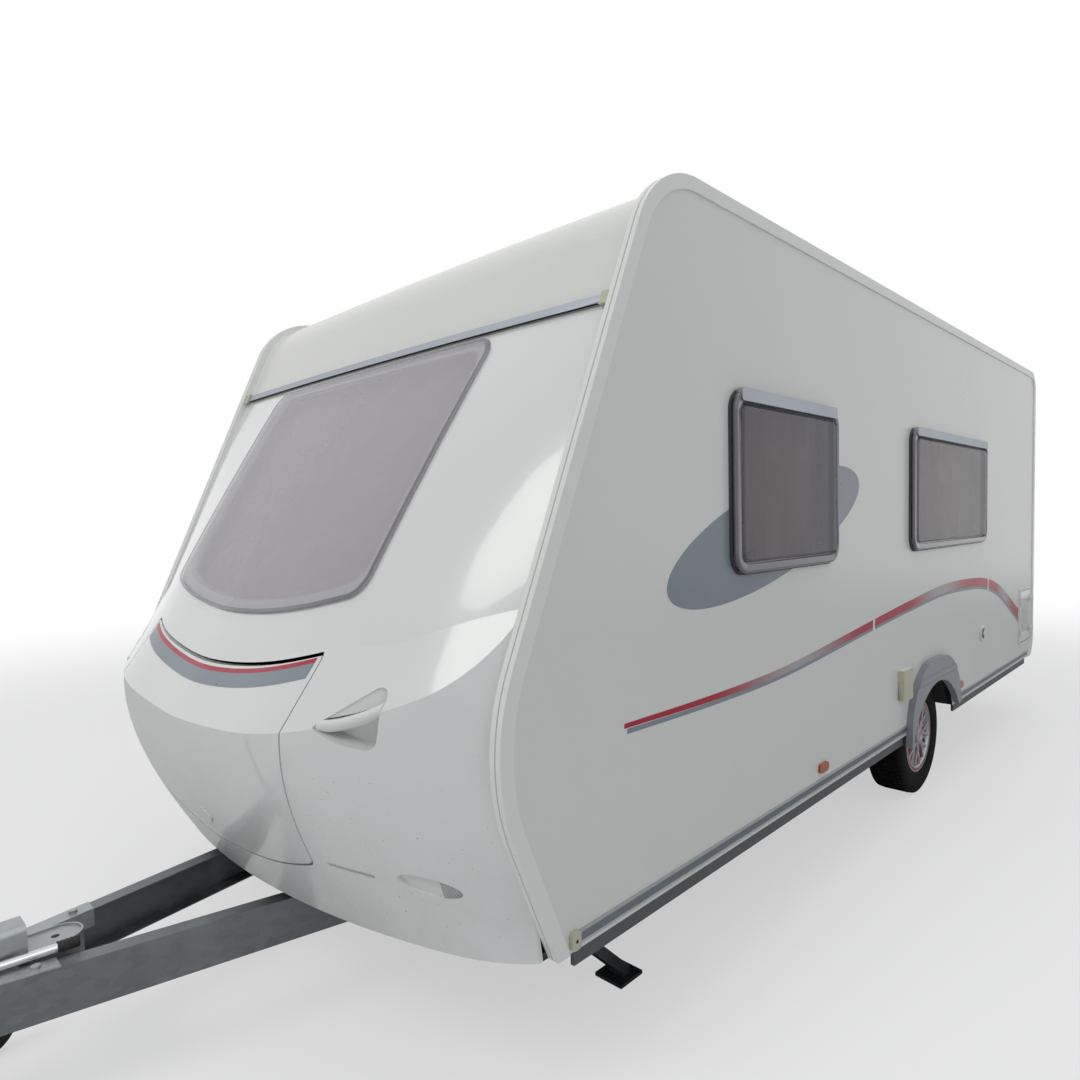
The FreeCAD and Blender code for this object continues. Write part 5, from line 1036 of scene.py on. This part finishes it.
class CARAVAN_OT_wheel_trims(Operator):
    """Fit the spoked wheel trims"""

    bl_idname = "caravan.wheel_trims"
    bl_label = "Wheel trims"

    def execute(self, context):
        count = context.scene.caravan.tyres.spokes
        low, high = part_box("tyre_left")
        hub = Vector((0.0, (low.y + high.y) / 2, (low.z + high.z) / 2))
        face = high.x - 0.012
        outer = 0.181

        def spun(profile):
            shape = bmesh.new()
            lathe(shape, [(face + stand, radius) for stand, radius in profile], hub)
            return shape

        def forked(stand, width, lift):
            shape = bmesh.new()
            trim_fork(shape, hub, face + stand, outer, width, lift)
            repeat_round(shape, hub, count)
            return shape

        for side, body in ((1, "wheel_left"), (-1, "wheel_right")):
            dark = spun(((-0.026, outer - 0.012), (-0.023, outer - 0.012), (-0.022, 0.02), (-0.025, 0.02)))
            red = forked(-0.010, 0.031, 0.0)
            join(red, spun(((-0.016, outer + 0.007), (-0.005, outer + 0.008), (-0.001, outer + 0.004),
                            (-0.001, outer - 0.004), (-0.010, outer - 0.008))))
            silver = forked(-0.003, 0.021, 0.006)
            join(silver, spun(((-0.012, outer - 0.006), (0.0, outer - 0.007), (0.001, outer - 0.014),
                               (-0.005, outer - 0.020), (-0.014, outer - 0.022))))
            join(silver, spun(((-0.010, 0.040), (0.004, 0.038), (0.007, 0.032), (0.007, 0.028),
                               (0.004, 0.026), (0.005, 0.0), (-0.010, 0.0))))
            for name, shape, finish in (("dark", dark, "black"), ("red", red, "rim_red"),
                                        ("silver", silver, "rim")):
                if side < 0:
                    flip_side(shape)
                piece(body + "_trim_" + name, shape, body, finish)
        return {"FINISHED"}


class CARAVAN_OT_curtains(Operator):
    """Hang pleated curtains in the plain slabs' places"""

    bl_idname = "caravan.curtains"
    bl_label = "Curtains"

    def execute(self, context):
        sizes = context.scene.caravan.curtains
        hem, side_hem, sway, room, rows = 0.004, 0.01, 0.004, 0.42, 26
        drift, overtone, flatter = 1.4, 0.2, 0.25
        plain = copied("curtains")
        surface = BVHTree.FromBMesh(plain)
        made = []
        for index, (low, high) in enumerate(separate(plain)):
            size = high - low
            run_axis, depth_axis = (1, 0) if size.x < min(size.y, 0.1) else (0, 1)
            width, height = size[run_axis], size.z
            folds = max(3, round(width / sizes.fold))
            shape = bmesh.new()
            grid = bmesh.ops.create_grid(shape, x_segments=folds * 10, y_segments=rows, size=0.5)["verts"]
            ahead = Vector([1.0 if axis == depth_axis else 0.0 for axis in range(3)])
            spine = {}
            for vert in grid:
                share, up = vert.co.x + 0.5, vert.co.y + 0.5
                wander = noise.noise(Vector((share * folds * 0.35, up * 0.8, index * 7.0)))
                phase = math.tau * folds * share + wander * drift
                swing = math.sin(phase) * (1.0 - overtone) + math.sin(phase * 2.0 + 1.0) * overtone
                place = (low + high) / 2
                place[run_axis] = (low[run_axis] + width * (side_hem + (1.0 - 2 * side_hem) * share)
                                   + sway * math.cos(phase))
                place.z = low.z + height * (hem + (1.0 - 2 * hem) * up)
                reach = ahead * (size[depth_axis] / 2 + 0.01)
                front, facing = surface.ray_cast(place - reach, ahead)[:2]
                back = surface.ray_cast(place + reach, -ahead)[0]
                middle = (front + back) / 2
                if share == 0.0:
                    spine[up] = middle
                depth = min(sizes.depth, abs((back - front).dot(facing)) * room)
                vert.co = middle + facing * depth * swing * (1.0 - flatter * up)
            area = sum(face.calc_area() for face in shape.faces)
            line = [spine[up] for up in sorted(spine)]
            drop = sum((second - first).length for first, second in zip(line, line[1:]))
            curtain = piece("curtain_%d" % (index + 1), shape, "root", "curtain", 180.0)
            area / drop
            made.append(curtain)
        plain.free()
        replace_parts(made[0], "curtains")
        return {"FINISHED"}


def studio_floor(white):
    """Pale floor that keeps the caravan's shadow and turns plain white far away."""
    shape = bmesh.new()
    bmesh.ops.create_grid(shape, x_segments=1, y_segments=1, size=60.0)
    mesh = bpy.data.meshes.new("floor")
    shape.to_mesh(mesh)
    shape.free()
    finish = Finish("Studio floor", 0.8)
    cloud = finish.noise(0.8, 3.0)
    finish.set("Base Color", finish.mix(cloud * 0.3, (0.80, 0.80, 0.80), (0.77, 0.775, 0.78)))
    away = finish.node("ShaderNodeVectorMath", {"operation": "LENGTH"}, (finish.where(),), "Value")
    seen, mirrored = (finish.node("ShaderNodeLightPath", output=kind)
                      for kind in ("Is Camera Ray", "Is Glossy Ray"))
    share = seen * finish.step(away, 4.0, 11.0, white, 1.0) + mirrored * finish.step(away, 8.0, 20.0)
    plain = finish.node("ShaderNodeEmission", None, {"Color": (1.0, 1.0, 1.0, 1.0), "Strength": 1.0})
    blend = finish.node("ShaderNodeMixShader", None,
                        {0: share, 1: Amount(finish, finish.shader.outputs[0]), 2: plain})
    surface = next(item for item in finish.tree.nodes if item.type == "OUTPUT_MATERIAL").inputs["Surface"]
    finish.feed(surface, blend)
    mesh.materials.append(finish.material)
    made = bpy.data.objects.new("studio_floor", mesh)
    bpy.context.scene.collection.objects.link(made)


def studio_world(scene, sky):
    """Soft light from all round, and white behind the caravan."""
    scene.world = bpy.data.worlds.new("Studio")
    scene.world.use_nodes = True
    tree = scene.world.node_tree
    tree.nodes.clear()
    made = Nodes(tree)
    seen, through, mirrored = (made.node("ShaderNodeLightPath", output=kind)
                               for kind in ("Is Camera Ray", "Is Transmission Ray", "Is Glossy Ray"))
    bright = seen.maths("MAXIMUM", seen.maths("MAXIMUM", seen, through), mirrored)
    soft, white = (made.node("ShaderNodeBackground", None, {"Color": tint, "Strength": power})
                   for tint, power in (((0.93, 0.96, 1.0, 1.0), sky), ((1.0, 1.0, 1.0, 1.0), 1.0)))
    blend = made.node("ShaderNodeMixShader", None, {0: bright, 1: soft, 2: white})
    made.feed(tree.nodes.new("ShaderNodeOutputWorld").inputs["Surface"], blend)


def studio_light(name, place, target, size, power, tint):
    """One large soft light."""
    data = bpy.data.lights.new(name, "AREA")
    data.shape = "DISK"
    data.size, data.energy, data.color = size, power, tint
    lamp = bpy.data.objects.new(name, data)
    lamp.location = place
    lamp.rotation_euler = (Vector(target) - Vector(place)).to_track_quat("-Z", "Y").to_euler()
    bpy.context.scene.collection.objects.link(lamp)


def studio_camera(scene):
    """Camera where the photograph was taken from."""
    data = bpy.data.cameras.new("Camera")
    data.sensor_width, data.lens = 36.0, 24.624
    data.shift_x, data.shift_y = -0.0307, 0.0162
    made = bpy.data.objects.new("Camera", data)
    yaw, pitch, roll = (math.radians(turn) for turn in (42.94, -3.04, -1.2))
    ahead = Vector((-math.sin(yaw) * math.cos(pitch), math.cos(yaw) * math.cos(pitch), math.sin(pitch)))
    level = ahead.cross(Vector((0.0, 0.0, 1.0))).normalized()
    above = level.cross(ahead)
    right = level * math.cos(roll) + above * math.sin(roll)
    up = above * math.cos(roll) - level * math.sin(roll)
    turn = Matrix((right, up, -ahead)).transposed().to_4x4()
    made.matrix_world = Matrix.Translation((2.39305, -ORIGIN_STATION, 1.5)) @ turn
    bpy.context.scene.collection.objects.link(made)
    scene.camera = made


class CARAVAN_OT_stage(Operator):
    """Set the floor, the backdrop's colour, the lights and the camera"""

    bl_idname = "caravan.stage"
    bl_label = "Stage"

    def execute(self, context):
        sizes = context.scene.caravan.stage
        scene = context.scene
        scene.view_settings.view_transform = "Standard"
        studio_floor(sizes.floor_white)
        studio_world(scene, sizes.sky)
        studio_light("Key", (-0.6, -9.2, 9.0), (0.0, -1.0, 1.1), 5.5, sizes.key, (1.0, 0.985, 0.95))
        studio_light("Fill", (8.0, -3.0, 7.0), (0.6, 0.3, 2.0), 5.0, sizes.fill, (0.95, 0.975, 1.0))
        studio_light("Top", (1.5, 1.5, 9.0), (0.0, 0.5, 1.0), 7.0, sizes.top, (1.0, 0.99, 0.97))
        studio_camera(scene)
        return {"FINISHED"}


class CARAVAN_PT_panel(Panel):
    """Sizes and steps of the caravan."""

    bl_idname = "CARAVAN_PT_panel"
    bl_label = "Caravan"
    bl_space_type = "VIEW_3D"
    bl_region_type = "UI"
    bl_category = "Caravan"

    def draw(self, context):
        settings = context.scene.caravan
        for group in (settings.paint, settings.stripes, settings.tyres, settings.curtains, settings.stage):
            box = self.layout.box()
            for name in group.bl_rna.properties.keys():
                if name not in ("rna_type", "name"):
                    box.prop(group, name)
        for step in steps:
            self.layout.operator(step.bl_idname)


steps = (CARAVAN_OT_stage, CARAVAN_OT_finishes, CARAVAN_OT_windows, CARAVAN_OT_fittings,
         CARAVAN_OT_side_stripes, CARAVAN_OT_lid_stripes, CARAVAN_OT_tyres, CARAVAN_OT_wheel_trims,
         CARAVAN_OT_curtains)
classes = (PaintColours, StripeSizes, TyreSizes, CurtainSizes, StageSizes, CaravanSettings, *steps,
           CARAVAN_PT_panel)


def register():
    """Register the classes and the caravan's settings."""
    for item in classes:
        bpy.utils.register_class(item)
    bpy.types.Scene.caravan = PointerProperty(type=CaravanSettings)


def unregister():
    """Take the classes and the settings away."""
    del bpy.types.Scene.caravan
    for item in reversed(classes):
        bpy.utils.unregister_class(item)


def main():
    """Build every piece in order."""
    register()
    for step in steps:
        group, name = step.bl_idname.split(".")
        getattr(getattr(bpy.ops, group), name)()


if __name__ == "__main__":
    main()
